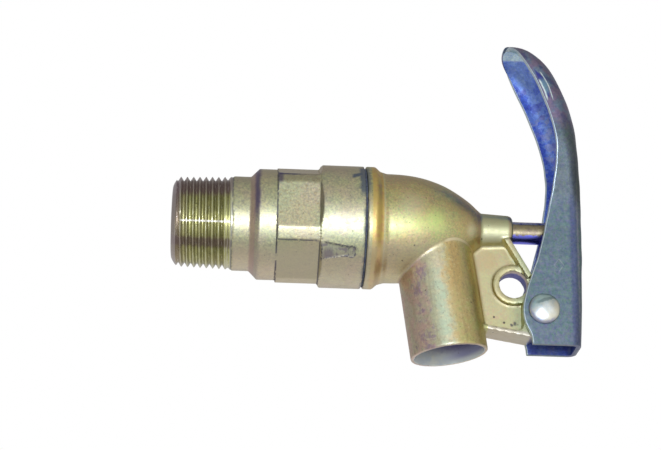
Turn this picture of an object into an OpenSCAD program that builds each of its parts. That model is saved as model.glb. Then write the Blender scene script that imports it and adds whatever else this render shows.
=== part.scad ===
// Self-closing drum faucet: threaded inlet body, outlet elbow with spout and
// locking web, spring-loaded poppet on a push stem, and a pressed steel lever.
// The valve axis is +X from the inlet mouth to the lever, the spout points
// down (-Z) and the lever stands up (+Z). The origin is the centre of the
// inlet's open end.

/* [Inlet body] */
// Radius of the plain cylinder that the 3/4-14 taper pipe thread is cut on
thread_r = 13.1; // [12.8:0.1:13.4]
// Distance from the inlet mouth to the end of the thread
thread_l = 17.8; // [15:0.1:18.5]
// Radius of the inlet bore
inlet_bore_r = 8; // [7.2:0.1:8]
// Width across the flats of the wrench hexagon
hex_af = 31.8; // [31.2:0.1:32]
// Turn of the hexagon about the valve axis, in degrees
hex_turn = 27; // [0:1:59]
// Radius of the round collar that carries the body joint
collar_r = 17.85; // [17.6:0.05:18.5]

/* [Outlet elbow] */
// Lean of the spout towards the lever, in degrees
spout_tilt = 8.4; // [5:0.1:10]
// Length of the spout from the valve axis to its mouth
spout_l = 38.2; // [36:0.1:44]
// Outside radius of the spout
spout_r = 11.13; // [11.05:0.01:11.3]
// Wall thickness of the spout
spout_wall = 0.98; // [0.9:0.02:1.3]
// Depth of the reamed mouth; the cast bore above it is a little narrower
mouth_l = 20; // [16:0.5:22]
// Radius of the valve port
port_r = 8; // [7.4:0.1:8.2]

/* [Locking web] */
// Thickness of the thin panel between spout, boss and pivot
panel_t = 3; // [2:0.2:4]
// Thickness of the rails and the pivot lug around the panel
web_t = 9.2; // [8.4:0.1:9.3]
// Radius of the padlock hole
lock_hole_r = 4.1; // [3:0.1:4.1]
// Thickness of the raised ring around the padlock hole
lock_ring_t = 6.8; // [4:0.1:8]

/* [Stem and valve] */
// Radius of the push stem
stem_r = 3.25; // [3:0.05:3.25]
// Radial running clearance of the stem in its boss
stem_clear = 0.05; // [0.02:0.01:0.1]
// Radius of the poppet disc
disc_r = 9.8; // [9.4:0.1:10]

/* [Closing spring] */
// Wire diameter
wire_d = 1.2; // [0.8:0.1:1.2]
// Mean coil radius
coil_r = 7.6; // [7.6:0.05:7.8]
// Active turns between the closed end coils
coil_turns = 5; // [3:1:7]

/* [Lever] */
// Sheet thickness
sheet_t = 1.4; // [1:0.1:1.4]
// Half width of the channel outside, at the pivot
channel_hw = 6.3; // [6.3:0.1:7]
// Extra half width of the thumb pad
pad_extra = 5.9; // [3:0.1:7]
// Radius of the pivot rivet's shank
rivet_r = 2.4; // [2:0.05:2.4]

/* [Hidden] */

// stations along the valve axis
neck_r = 13.7;
neck_end = 22.4;
shoulder_r = 16.1;
shoulder_end = 30.15;
hex_r = 17.4;
hex_end = 42.5;
collar_end = 55.1;
flange_x = 55.7;
spigot_r = 14.4;
spigot_x = 46.8;
socket_r = spigot_r + 0.1;
chamber_r = 11.5;
chamber_x = 20;
screen_seat_x = 14;
seat_x = 46.2;
disc_back_x = 42.6;
hub_x = 40.6;
seal_x0 = 44.6;
seal_x1 = seat_x - 0.05;
retainer_x = 47.4;
stem_end_x = 34.4;
stem_tail_r = 2.45;
stem_tip_x = 117.3;
stem_dome_r = 6.35;
boss_x = 99;
groove_floor = 2.3;
groove_w = 1.5;
groove_1 = 88.9;
groove_2 = 93.4;
brass_cast = "#c2a35c";
brass_turned = "#cfae5e";
steel = "#8f9aa0";

// outside profile of the elbow's dome: distance along the axis, radius
dome = [[61.8, 15.95], [66, 15.85], [70, 15.45], [74, 14.6], [78, 13.25],
        [81, 11.8], [84, 10], [86.5, 8.25], [88.5, 6.5], [89.8, 5.4]];

// spout axis: a point this far below the valve axis
spout_x = 74.96;
pivot = [107.1, -25];
lug_r = 5.2;
lock = [98.9, -16.9];

// a round body about the valve axis from [x, r] points
module turned(pts, fn = 96)
    rotate([0, 90, 0]) rotate_extrude($fn = fn)
        polygon([for (p = pts) [p[1], p[0]]]);

// a rod on the valve axis
module rod(r, x0, x1, fn = 96)
    translate([x0, 0, 0]) rotate([0, 90, 0]) cylinder(r = r, h = x1 - x0, $fn = fn);

// a shape drawn in X and Z, centred on the mid-plane with thickness t
module plate(t) rotate([90, 0, 0]) linear_extrude(t, center = true) children();

// Catmull-Rom point between table rows, at u counted in rows
function row(T, i) = T[max(0, min(len(T) - 1, i))];
function at(T, u) =
    let (i = min(floor(u), len(T) - 2), t = u - i,
         a = row(T, i - 1), b = row(T, i), c = row(T, i + 1), d = row(T, i + 2))
    0.5 * (2 * b + (c - a) * t + (2 * a - 5 * b + 4 * c - d) * t * t
           + (3 * b - a - 3 * c + d) * t * t * t);

// ---- inlet side ----

module inlet_body() color(brass_cast) difference() {
    union() {
        turned([[0, 0], [0, 9.9], [0.3, 10.9], [0.9, 12], [2.4, thread_r],
                [thread_l, thread_r], [thread_l, neck_r], [neck_end, neck_r],
                [22.9, 14], [24.7, 15.8], [25.3, shoulder_r],
                [shoulder_end, shoulder_r], [shoulder_end, 0]]);
        turned([[shoulder_end, 0], [shoulder_end, hex_r - 0.3],
                [shoulder_end + 0.3, hex_r], [hex_end, hex_r],
                [hex_end, collar_r - 0.3], [hex_end + 0.3, collar_r],
                [collar_end - 0.3, collar_r], [collar_end, collar_r - 0.3],
                [collar_end, 0]]);
    }
    // six flats, each with a sloped end at the collar
    for (i = [0:5]) rotate([hex_turn + 60 * i, 0, 0]) plate(24)
        polygon([[shoulder_end, hex_af / 2], [hex_end - 0.4, hex_af / 2],
                 [hex_end + 1.25, collar_r + 1], [shoulder_end, collar_r + 1]]);
    // inlet bore with the groove of the screen's ring
    rod(inlet_bore_r, -1, screen_seat_x);
    turned([[-0.1, 0], [-0.1, inlet_bore_r + 0.5], [0.4, inlet_bore_r],
            [0.4, 0]]);
    rod(8.55, 12, 13.15);
    // waterway past the screen seat, spring recess and valve chamber
    rod(7, 13, chamber_x + 1);
    turned([[chamber_x, 0], [chamber_x, 8.6], [21.5, 8.6], [24.4, chamber_r],
            [spigot_x - 0.3, chamber_r], [spigot_x - 0.3, 0]]);
    // threaded socket of the body joint
    rod(socket_r, spigot_x - 0.4, collar_end + 1);
}

module flame_screen() color("#a9a493") difference() {
    rod(inlet_bore_r - 0.1, screen_seat_x - 0.8, screen_seat_x, 64);
    for (i = [-4:4], j = [-4:4])
        let (y = 1.55 * (j + i / 2), z = 1.55 * i * sqrt(3) / 2)
            if (norm([y, z]) < 6.3)
                translate([screen_seat_x - 2, y, z]) rotate([0, 90, 0])
                    cylinder(r = 0.52, h = 4, $fn = 16);
}

module screen_ring() color("#9aa0a3")
    translate([12.6, 0, 0]) rotate([0, 90, 0]) rotate([0, 0, 200])
        rotate_extrude(angle = 320, $fn = 72) translate([7.95, 0])
            circle(r = 0.5, $fn = 24);

module body_gasket() color("#d8d5c6")
    turned([[collar_end, socket_r], [collar_end, collar_r - 0.65],
            [flange_x, collar_r - 0.65], [flange_x, socket_r]]);

// ---- outlet elbow ----

module spout_axis() translate([spout_x, 0, 0]) rotate([0, -spout_tilt, 0])
    mirror([0, 0, 1]) children();

// where the line from point a touches the pivot lug, on side s
function touch(a, s) =
    let (d = a - pivot, w = atan2(d[1], d[0]) + s * acos(lug_r / norm(d)))
    pivot + lug_r * [cos(w), sin(w)];

nose = [104.2, -14.3];

// diagonal rail under the boss, passing over the edge of the padlock ring
module upper_rail()
    polygon([[97.9, -3.2], [103.9, -13.7], nose, [102.9, -15.1], [96.1, -3.4]]);

module web_outline() {
    foot = [103.3, -32.9];
    // lug around the pivot and the solid corner beside it
    polygon([nose, touch(nose, -1), pivot, touch(foot, 1), foot,
             [101.3, -32.55], [101.3, -20], [102.9, -15.1]]);
    translate(pivot) circle(r = lug_r, $fn = 64);
    // bottom rail
    polygon([[88, -29.1], [99.6, -30.95], [101.3, -31.2], foot, [88, -30.4]]);
    // rounded inner corner
    difference() {
        polygon([[99.4, -31.1], [101.5, -31.4], [101.5, -29]]);
        translate([99.55, -29.2]) circle(r = 1.8, $fn = 32);
    }
}

module web() {
    plate(panel_t) polygon([[84, -1], [98, -1], [98.4, -3.4], [104.2, -14.3],
        [104.2, -32], [103.3, -32.9], [88, -30.4], [84, -12]]);
    difference() {
        plate(web_t) web_outline();
        plate(web_t + 1) translate(lock) circle(r = 5.95, $fn = 64);
    }
    plate(web_t) upper_rail();
    plate(lock_ring_t) translate(lock) circle(r = 5.95, $fn = 64);
}

module outlet_elbow() color(brass_cast) difference() {
    union() {
        turned([[seat_x, 0], [seat_x, port_r + 1], [spigot_x, port_r + 1.4],
                [spigot_x, spigot_r - 0.5], [spigot_x + 0.5, spigot_r],
                [flange_x, spigot_r], [flange_x, collar_r - 0.3],
                [flange_x + 0.3, collar_r], [58.4, collar_r], [58.7, 17.55],
                [59.9, 16.55], [61.4, 16.1], [61.7, 16.05], [61.7, 0]]);
        turned(concat([[61.7, 0], [61.7, dome[0][1]]],
               [for (u = [0:0.25:9]) at(dome, u)], [[90.5, 5.35], [97.7, 4.95], [98.6, 4.6],
                [boss_x, 4], [boss_x, 0]]));
        spout_axis() cylinder(r = spout_r, h = spout_l, $fn = 96);
        web();
    }
    // port, cavity and waterway into the spout
    turned([[seat_x - 1, 0], [seat_x - 1, port_r], [50, port_r], [54, 12],
            [56, 12.5], [68, 12.5], [72, 12], [76, 10.8], [79, 8.9],
            [81, 7], [82.5, 4.6], [82.5, 0]]);
    spout_axis() translate([0, 0, 6])
        cylinder(r = spout_r - spout_wall - 0.25, h = spout_l - 6, $fn = 96);
    spout_axis() translate([0, 0, spout_l - mouth_l])
        cylinder(r = spout_r - spout_wall, h = mouth_l + 1, $fn = 96);
    // stem bore through the boss
    rod(stem_r + stem_clear, 80, boss_x + 1);
    // rivet and padlock holes
    translate([pivot[0], 0, pivot[1]]) rotate([90, 0, 0])
        cylinder(r = rivet_r + 0.05, h = 20, center = true, $fn = 64);
    translate([lock[0], 0, lock[1]]) rotate([90, 0, 0])
        cylinder(r = lock_hole_r, h = 20, center = true, $fn = 64);
}

// ---- valve and stem ----

module valve_stem() color(brass_turned) {
    b = sqrt(stem_dome_r * stem_dome_r - stem_r * stem_r);
    difference() {
        turned(concat([[stem_end_x, 0], [stem_end_x, stem_tail_r - 0.5],
            [stem_end_x + 0.5, stem_tail_r], [retainer_x, stem_tail_r],
            [retainer_x, stem_r]],
            [for (k = [0:6]) let (w = (1 - k / 6) * asin(stem_r / stem_dome_r))
                [stem_tip_x - stem_dome_r + stem_dome_r * cos(w),
                 stem_dome_r * sin(w)]]));
        for (g = [groove_1, groove_2])
            turned([[g, groove_floor], [g, stem_r + 1], [g + groove_w, stem_r + 1],
                    [g + groove_w, groove_floor]]);
    }
}

module o_ring(x) translate([x + groove_w / 2, 0, 0]) rotate([0, 90, 0])
    rotate_extrude($fn = 64)
        translate([(groove_floor + stem_r + stem_clear) / 2, 0])
            circle(r = (stem_r + stem_clear - groove_floor) / 2 - 0.01, $fn = 32);

module stem_o_ring_inner() color("#2b2b2d") o_ring(groove_1);
module stem_o_ring_outer() color("#2b2b2d") o_ring(groove_2);

module valve_disc() color(brass_turned)
    turned([[hub_x, stem_tail_r + 0.05], [hub_x, 6], [hub_x + 0.4, 6.4],
            [disc_back_x, 6.4], [disc_back_x, disc_r - 0.3],
            [disc_back_x + 0.3, disc_r], [seal_x0, disc_r],
            [seal_x0, stem_tail_r + 0.05]]);

module seal_washer() color("#e6e3d8")
    turned([[seal_x0, stem_tail_r + 0.05], [seal_x0, disc_r],
            [seal_x1, disc_r], [seal_x1, stem_tail_r + 0.05]]);

module washer_retainer() color(brass_turned)
    turned([[seal_x1, stem_tail_r + 0.05], [seal_x1, 6.5], [47, 6.5],
            [retainer_x, 6.1], [retainer_x, stem_tail_r + 0.05]]);

module lock_washer() color("#a4a7a9")
    translate([hub_x - 0.9, 0, 0]) rotate([0, 90, 0]) rotate([0, 0, 95])
        rotate_extrude(angle = 350, $fn = 64)
            translate([stem_tail_r + 0.15, 0]) square([2, 0.9]);

module stem_nut() color("#c0a35f") difference() {
    intersection() {
        translate([hub_x - 4.9, 0, 0]) rotate([0, 90, 0])
            cylinder(r = 4 / cos(30), h = 4, $fn = 6);
        turned([[hub_x - 4.9, 0], [hub_x - 4.9, 4.05], [hub_x - 4.3, 4.7],
                [hub_x - 1.5, 4.7], [hub_x - 0.9, 4.05], [hub_x - 0.9, 0]]);
    }
    rod(stem_tail_r + 0.05, hub_x - 6, hub_x);
}

// compression spring with a closed coil at each end
spring_x0 = chamber_x + 0.1;
spring_x1 = disc_back_x - 0.1;
end_coil = 1.06 * wire_d;
spring_turns = coil_turns + 2;
coil_lead = (spring_x1 - spring_x0 - wire_d - 2 * end_coil) / coil_turns;
function along(t) = t < 1 ? end_coil * t
    : t > spring_turns - 1 ? end_coil * (2 + t - spring_turns) + coil_lead * coil_turns
    : end_coil + coil_lead * (t - 1);

module closing_spring() color("#a9adb0") {
    n = 22;
    sides = 8;
    wr = wire_d / 2;
    steps = n * spring_turns;
    pts = [for (i = [0:steps]) let (t = i / n, a = 360 * t)
           for (k = [0:sides - 1]) let (b = 360 * (k + 0.5) / sides,
                rr = coil_r + wr * cos(b))
           [spring_x0 + wr + along(t) + wr * sin(b), rr * cos(a), rr * sin(a)]];
    m = len(pts);
    polyhedron(pts, concat(
        [[for (k = [sides - 1:-1:0]) k]],
        [[for (k = [0:sides - 1]) m - sides + k]],
        [for (i = [0:steps - 1], k = [0:sides - 1])
            let (p = i * sides + k, q = i * sides + (k + 1) % sides)
            [p, q, q + sides, p + sides]]), convexity = 10);
}

// ---- lever ----

// side view of the lever, from foot to tip:
// back line x, z, edge line x, z, share of the pad's extra half width,
// corner width and corner depth
ribs = [
    [117.8, -35.4, 103.6, -35.4, 0.00, 2.6, 2.6],
    [118.0, -32.2, 103.1, -32.4, 0.00, 2.6, 2.6],
    [118.2, -28.6, 101.5, -28.8, 0.00, 2.6, 2.6],
    [118.4, -24.6, 101.1, -24.8, 0.00, 2.6, 2.6],
    [118.6, -20.0, 102.0, -20.4, 0.00, 2.6, 2.6],
    [118.7, -15.2, 103.5, -15.6, 0.00, 2.6, 2.6],
    [118.9, -9.8, 105.4, -10.2, 0.00, 2.6, 2.6],
    [119.0, -4.0, 107.0, -4.4, 0.00, 2.6, 2.6],
    [119.1, 2.0, 108.4, 1.6, 0.00, 2.7, 2.6],
    [119.1, 8.2, 109.6, 7.6, 0.06, 3.2, 2.8],
    [119.0, 14.4, 110.6, 13.4, 0.28, 4.8, 3.3],
    [118.8, 20.4, 111.2, 19.0, 0.58, 7.0, 4.2],
    [118.4, 26.2, 111.2, 24.4, 0.85, 9.2, 5.2],
    [117.8, 31.9, 110.5, 29.4, 0.98, 10.7, 6.0],
    [116.6, 37.3, 109.2, 34.2, 1.00, 11.3, 6.4],
    [115.0, 42.2, 107.6, 39.0, 0.97, 11.3, 6.4],
    [113.0, 46.8, 105.8, 43.6, 0.94, 11.2, 6.2],
    [110.6, 50.9, 103.8, 48.0, 0.92, 11.1, 5.9],
    [107.6, 54.2, 101.8, 52.0, 0.95, 11.0, 5.4],
    [104.4, 56.6, 99.9, 55.5, 1.02, 11.0, 4.7],
    [101.2, 58.1, 98.4, 58.3, 1.07, 11.0, 3.7]
];
tip_row = 20;
round_row = 16.5;

// one rib of the lever's outer (t = 0) or inner (t = sheet_t) surface
function rib(u, t, m) =
    let (d = at(ribs, u), s = [d[0], d[1]], e = [d[2], d[3]], ax = (e - s) / norm(e - s),
         k = u > round_row
             ? sqrt(max(0, 1 - pow((u - round_row) / (tip_row - t / 3.4 - round_row), 2))) : 1,
         w = (channel_hw + pad_extra * d[4] - t) * (k < 0.001 ? 0 : k),
         a = min(d[5] - t, w), b = d[6] - t * 0.6,
         s1 = s + ax * t, depth = norm(e - s1), q = 2 + 0.25 * d[4])
    [for (j = [-m:m])
        let (v = 1 - abs(j) / m,
             // v is 1 at the back line, 0.25 where the flange starts, 0 at its edge
             c = 90 * (v - 0.25) / 0.75,
             y = j == 0 ? 0 : v > 0.25 ? w - a + a * pow(cos(c), 2 / q) : w,
             z = v > 0.25 ? b * (1 - pow(sin(c), 2 / q)) : b + (depth - b) * (1 - v / 0.25))
        [s1[0] + ax[0] * z, (j < 0 ? -1 : 1) * y, s1[1] + ax[1] * z]];

function stations(last) = concat([for (u = [0:6]) u], [for (u = [6.5:0.5:16]) u],
    [for (k = [0:9]) round_row + (last - round_row) * sin(9 * k)]);
function half(r, m) = [for (j = [m:2 * m]) r[j]];
function quad(a, b, c, d) = [[a, b, c], [a, c, d]];

module lever() color(steel) {
    m = 8;
    ring = 2 * m + 1;
    last_in = tip_row - sheet_t / 3.4;
    outer = stations(tip_row);
    inner = stations(last_in);
    n = len(outer);
    // point numbers: outer ribs, outer tip line, inner ribs, inner tip line
    a = n * ring;
    o = a + m + 1;
    b = o + n * ring;
    pts = concat([for (u = outer) each rib(u, 0, m)], half(rib(tip_row, 0, m), m),
                 [for (u = inner) each rib(u, sheet_t, m)], half(rib(last_in, sheet_t, m), m));
    e = (n - 1) * ring;
    difference() {
        polyhedron(pts, concat(
            [for (i = [0:n - 2], j = [0:ring - 2]) let (p = i * ring + j)
                each quad(p, p + ring, p + ring + 1, p + 1)],
            [for (i = [0:n - 2], j = [0:ring - 2]) let (p = o + i * ring + j)
                each quad(p + 1, p + ring + 1, p + ring, p)],
            // foot: the cut section
            [for (j = [0:ring - 2]) each quad(j, j + 1, o + j + 1, o + j)],
            // edges of the two flanges
            [for (i = [0:n - 2]) let (p = i * ring) each quad(p, o + p, o + p + ring, p + ring)],
            [for (i = [0:n - 2]) let (p = i * ring + ring - 1)
                each quad(p + ring, o + p + ring, o + p, p)],
            // tip
            [for (j = [0:ring - 2]) let (s = abs(j - m), t = abs(j + 1 - m))
                each quad(e + j, a + s, a + t, e + j + 1)],
            [for (j = [0:ring - 2]) let (s = abs(j - m), t = abs(j + 1 - m))
                each quad(o + e + j + 1, b + t, b + s, o + e + j)],
            quad(e, o + e, b + m, a + m),
            quad(a + m, b + m, o + e + ring - 1, e + ring - 1)), convexity = 8);
        translate([pivot[0], 0, pivot[1]]) rotate([90, 0, 0])
            cylinder(r = rivet_r + 0.05, h = 30, center = true, $fn = 64);
    }
}

module pivot_rivet() color("#c5ccd0")
    translate([pivot[0], 0, pivot[1]]) rotate([90, 0, 0]) rotate_extrude($fn = 64)
        polygon(concat([[0, -channel_hw - 1.8]],
            [for (k = [1:8]) let (w = 90 * k / 8)
                [4.1 * sin(w), -channel_hw - 0.05 - 1.75 * cos(w)]],
            [[rivet_r, -channel_hw - 0.05], [rivet_r, channel_hw + 0.05]],
            [for (k = [8:-1:0]) let (w = 90 * k / 8)
                [4.55 * sin(w), channel_hw + 0.05 + 1.95 * cos(w)]]));

inlet_body();
outlet_elbow();
body_gasket();
flame_screen();
screen_ring();
closing_spring();
valve_stem();
valve_disc();
seal_washer();
washer_retainer();
lock_washer();
stem_nut();
stem_o_ring_inner();
stem_o_ring_outer();
lever();
pivot_rivet();
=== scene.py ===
import math

import bpy
import numpy as np
from mathutils import Matrix, Vector


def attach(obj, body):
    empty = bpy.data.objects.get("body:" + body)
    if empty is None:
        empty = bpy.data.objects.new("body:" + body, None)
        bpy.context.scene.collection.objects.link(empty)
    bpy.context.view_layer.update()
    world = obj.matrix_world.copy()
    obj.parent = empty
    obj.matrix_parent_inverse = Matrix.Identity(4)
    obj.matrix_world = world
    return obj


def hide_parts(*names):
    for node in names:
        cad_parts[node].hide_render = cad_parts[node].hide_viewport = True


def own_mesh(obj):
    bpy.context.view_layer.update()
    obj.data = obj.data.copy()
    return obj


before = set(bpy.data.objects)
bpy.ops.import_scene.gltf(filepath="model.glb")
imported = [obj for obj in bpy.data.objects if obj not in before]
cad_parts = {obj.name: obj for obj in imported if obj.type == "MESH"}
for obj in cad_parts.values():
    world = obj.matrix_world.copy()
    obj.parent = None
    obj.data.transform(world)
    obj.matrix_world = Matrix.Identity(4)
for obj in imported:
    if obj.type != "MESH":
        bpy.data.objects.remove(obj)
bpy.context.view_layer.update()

MM = 0.001
scene = bpy.context.scene

# ------------------------------------------------------------------ nodes

class Tree:
    """Short names for shader nodes."""

    def __init__(self, tree):
        self.t = tree
        tree.nodes.clear()

    def node(self, kind, ins=None, **props):
        n = self.t.nodes.new(kind)
        for k, v in props.items():
            setattr(n, k, v)
        for k, v in (ins or {}).items():
            self.put(n.inputs[k], v)
        return n

    def put(self, socket, v):
        if isinstance(v, bpy.types.NodeSocket):
            self.t.links.new(v, socket)
        elif v is not None:
            if socket.type == "RGBA" and len(v) == 3:
                v = (*v, 1)
            socket.default_value = v

    def m(self, op, a, b=None, c=None, clamp=False):
        n = self.node("ShaderNodeMath", operation=op, use_clamp=clamp)
        for i, v in enumerate((a, b, c)):
            if v is not None:
                self.put(n.inputs[i], v)
        return n.outputs[0]

    def v(self, op, a, b=None, scale=None):
        n = self.node("ShaderNodeVectorMath", operation=op)
        self.put(n.inputs[0], a)
        if b is not None:
            self.put(n.inputs[1], b)
        if scale is not None:
            self.put(n.inputs["Scale"], scale)
        return n.outputs["Value"] if op in ("DOT_PRODUCT", "LENGTH", "DISTANCE") else n.outputs[0]

    def xyz(self, a):
        n = self.node("ShaderNodeSeparateXYZ", {0: a})
        return n.outputs[0], n.outputs[1], n.outputs[2]

    def join(self, x, y, z):
        return self.node("ShaderNodeCombineXYZ", {0: x, 1: y, 2: z}).outputs[0]

    def noise(self, vec, scale, detail=2.0, rough=0.5, distort=0.0):
        n = self.node("ShaderNodeTexNoise", {"Vector": vec, "Scale": scale, "Detail": detail,
                                              "Roughness": rough, "Distortion": distort})
        return n.outputs[0]

    def voronoi(self, vec, scale, feature="F1", rand=1.0):
        n = self.node("ShaderNodeTexVoronoi", {"Vector": vec, "Scale": scale, "Randomness": rand},
                      feature=feature)
        return n

    def span(self, x, a, b, c=0.0, d=1.0, smooth=True):
        n = self.node("ShaderNodeMapRange", {0: x, 1: a, 2: b, 3: c, 4: d},
                      interpolation_type="SMOOTHSTEP" if smooth else "LINEAR")
        return n.outputs[0]

    def mix(self, f, a, b, blend="MIX"):
        n = self.node("ShaderNodeMix", data_type="RGBA", blend_type=blend)
        self.put(n.inputs[0], f)
        self.put(n.inputs[6], a)
        self.put(n.inputs[7], b)
        return n.outputs[2]

    def lerp(self, f, a, b):
        n = self.node("ShaderNodeMix", data_type="FLOAT")
        self.put(n.inputs[0], f)
        self.put(n.inputs[2], a)
        self.put(n.inputs[3], b)
        return n.outputs[0]

    def bump(self, height, strength, dist_mm, normal=None):
        n = self.node("ShaderNodeBump", {"Strength": strength, "Distance": dist_mm * MM,
                                         "Height": height})
        if normal is not None:
            self.put(n.inputs["Normal"], normal)
        return n.outputs[0]

    def band(self, x, centre, half, soft):
        """1 inside centre +- half, falling off over soft."""
        return self.span(self.m("ABSOLUTE", self.m("SUBTRACT", x, centre)), half + soft, half)

    def blob(self, p, centre, r, soft, wob=None):
        """1 inside a ball of radius r (mm) about centre."""
        d = self.v("DISTANCE", p, centre)
        if wob is not None:
            d = self.m("ADD", d, wob)
        return self.span(d, r + soft, r)

    def top(self, *masks):
        r = masks[0]
        for k in masks[1:]:
            r = self.m("MAXIMUM", r, k)
        return r


def material(name):
    mat = bpy.data.materials.new(name)
    mat.use_nodes = True
    t = Tree(mat.node_tree)
    out = t.node("ShaderNodeOutputMaterial")
    b = t.node("ShaderNodeBsdfPrincipled")
    t.t.links.new(b.outputs[0], out.inputs[0])
    tc = t.node("ShaderNodeTexCoord")
    p = t.v("SCALE", tc.outputs["Object"], scale=1000.0)
    return mat, t, b, p


# ------------------------------------------------------------------ meshes

def make(name, v, faces, mat, body, replaces=(), smooth=None, normals=None, zones=None):
    """A mesh from points in mm. faces is a list or an (n, 4) array."""
    v = np.asarray(v, float) * MM
    me = bpy.data.meshes.new(name)
    if isinstance(faces, np.ndarray):
        k = faces.shape[1]
        me.vertices.add(len(v))
        me.vertices.foreach_set("co", v.astype(np.float32).ravel())
        me.loops.add(faces.size)
        me.loops.foreach_set("vertex_index", faces.astype(np.int32).ravel())
        me.polygons.add(len(faces))
        me.polygons.foreach_set("loop_start", np.arange(0, faces.size, k, dtype=np.int32))
        me.polygons.foreach_set("loop_total", np.full(len(faces), k, np.int32))
        me.update(calc_edges=True)
    else:
        me.from_pydata(v.tolist(), [], faces)
    for one in (mat if isinstance(mat, (list, tuple)) else [mat]):
        me.materials.append(one)
    if zones is not None:
        me.polygons.foreach_set("material_index", np.asarray(zones, np.int32))
    me.validate()
    me.shade_smooth()
    if smooth is not None:
        me.set_sharp_from_angle(angle=math.radians(smooth))
    if normals is not None:
        me.normals_split_custom_set_from_vertices(np.asarray(normals, float).tolist())
    o = bpy.data.objects.new(name, me)
    scene.collection.objects.link(o)
    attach(o, body)
    if replaces:
        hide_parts(*replaces)
    return o


def loft(X, R, n, phase=0.0, squash=None):
    """Closed loop of points (X[k], R[k]) turned about the X axis; X and R may be (k, n)."""
    X = np.asarray(X, float); R = np.asarray(R, float)
    if X.ndim == 1:
        X = np.repeat(X[:, None], n, 1)
    if R.ndim == 1:
        R = np.repeat(R[:, None], n, 1)
    a = phase + np.arange(n) * 2 * np.pi / n
    v = np.stack([X, R * np.cos(a), R * np.sin(a)], -1)
    k = len(X)
    i, j = np.meshgrid(np.arange(k), np.arange(n), indexing="ij")
    i2 = (i + 1) % k; j2 = (j + 1) % n
    f = np.stack([i * n + j, i * n + j2, i2 * n + j2, i2 * n + j], -1).reshape(-1, 4)
    return v.reshape(-1, 3), f


def lathe(profile, n=96, fine=None):
    """profile: [(x, r)] from one end on the axis to the other, outer side; r 0 closes it."""
    pts = np.array(profile, float)
    X, R = pts[:, 0], pts[:, 1]
    a = np.arange(n) * 2 * np.pi / n
    verts, rings = [], []
    for x, r in zip(X, R):
        if r <= 1e-6:
            rings.append([len(verts)])
            verts.append((x, 0, 0))
        else:
            rings.append(list(range(len(verts), len(verts) + n)))
            verts.extend(zip(np.full(n, x), r * np.cos(a), r * np.sin(a)))
    faces = []
    for p, q in zip(rings[:-1], rings[1:]):
        for j in range(n):
            k = (j + 1) % n
            if len(p) == 1 and len(q) == 1:
                continue
            if len(p) == 1:
                faces.append((p[0], q[k], q[j]))
            elif len(q) == 1:
                faces.append((p[j], p[k], q[0]))
            else:
                faces.append((p[j], p[k], q[k], q[j]))
    return np.array(verts), faces


def arc(cx, cy, r, a0, a1, n):
    """Points on a circle from angle a0 to a1 in degrees."""
    w = np.radians(np.linspace(a0, a1, n))
    return [(cx + r * math.cos(t), cy + r * math.sin(t)) for t in w]


def rounded(pts, radii, steps=4):
    """A closed outline with its corners rounded; radii per point (0 keeps it sharp)."""
    pts = [np.array(p, float) for p in pts]
    n = len(pts)
    if np.isscalar(radii):
        radii = [radii] * n
    out = []
    for i in range(n):
        a, b, c = pts[i - 1], pts[i], pts[(i + 1) % n]
        r = radii[i]
        u = a - b; w = c - b
        lu, lw = np.linalg.norm(u), np.linalg.norm(w)
        if r <= 0 or lu < 1e-6 or lw < 1e-6:
            out.append(b); continue
        u /= lu; w /= lw
        ang = math.acos(max(-1, min(1, float(u @ w))))
        if ang > math.pi - 0.02 or ang < 0.02:
            out.append(b); continue
        d = min(r / math.tan(ang / 2), lu * 0.49, lw * 0.49)
        p, q = b + u * d, b + w * d
        for k in range(steps + 1):
            t = k / steps
            out.append((1 - t) ** 2 * p + 2 * t * (1 - t) * b + t * t * q)
    return np.array(out)


# ------------------------------------------------------------------ distance fields, mm

def poly_sd(px, py, poly):
    """Signed distance to a closed 2-D polygon, negative inside."""
    poly = np.asarray(poly, float)
    d = np.full(px.shape, 1e9)
    inside = np.zeros(px.shape, bool)
    n = len(poly)
    for i in range(n):
        ax, ay = poly[i]; bx, by = poly[(i + 1) % n]
        ex, ey = bx - ax, by - ay
        L = ex * ex + ey * ey
        if L < 1e-12:
            continue
        wx, wy = px - ax, py - ay
        t = np.clip((wx * ex + wy * ey) / L, 0, 1)
        d = np.minimum(d, (wx - ex * t) ** 2 + (wy - ey * t) ** 2)
        c = (ay > py) != (by > py)
        if ay != by:
            inside ^= c & (px < (bx - ax) * (py - ay) / (by - ay) + ax)
    return np.where(inside, -1, 1) * np.sqrt(d)


class Table:
    """A 2-D distance field kept on a grid, read back by bilinear interpolation."""

    def __init__(self, poly, x0, x1, y0, y1, h=0.06):
        self.x0, self.y0, self.h = x0, y0, h
        xs = np.arange(x0, x1 + h, h); ys = np.arange(y0, y1 + h, h)
        X, Y = np.meshgrid(xs, ys, indexing="ij")
        self.d = poly_sd(X, Y, poly)

    def __call__(self, x, y):
        u = np.clip((x - self.x0) / self.h, 0, self.d.shape[0] - 1.001)
        v = np.clip((y - self.y0) / self.h, 0, self.d.shape[1] - 1.001)
        i = u.astype(int); j = v.astype(int)
        f = u - i; g = v - j
        d = self.d
        return ((1 - f) * (1 - g) * d[i, j] + f * (1 - g) * d[i + 1, j]
                + (1 - f) * g * d[i, j + 1] + f * g * d[i + 1, j + 1])


def smin(a, b, k):
    h = np.clip(0.5 + 0.5 * (b - a) / k, 0, 1)
    return b + (a - b) * h - k * h * (1 - h)


def smax(a, b, k):
    return -smin(-a, -b, k)


CORNERS = [(0, 0, 0), (1, 0, 0), (0, 1, 0), (1, 1, 0), (0, 0, 1), (1, 0, 1), (0, 1, 1), (1, 1, 1)]
EDGES = [(0, 1), (2, 3), (4, 5), (6, 7), (0, 2), (1, 3), (4, 6), (5, 7), (0, 4), (1, 5), (2, 6), (3, 7)]


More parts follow.
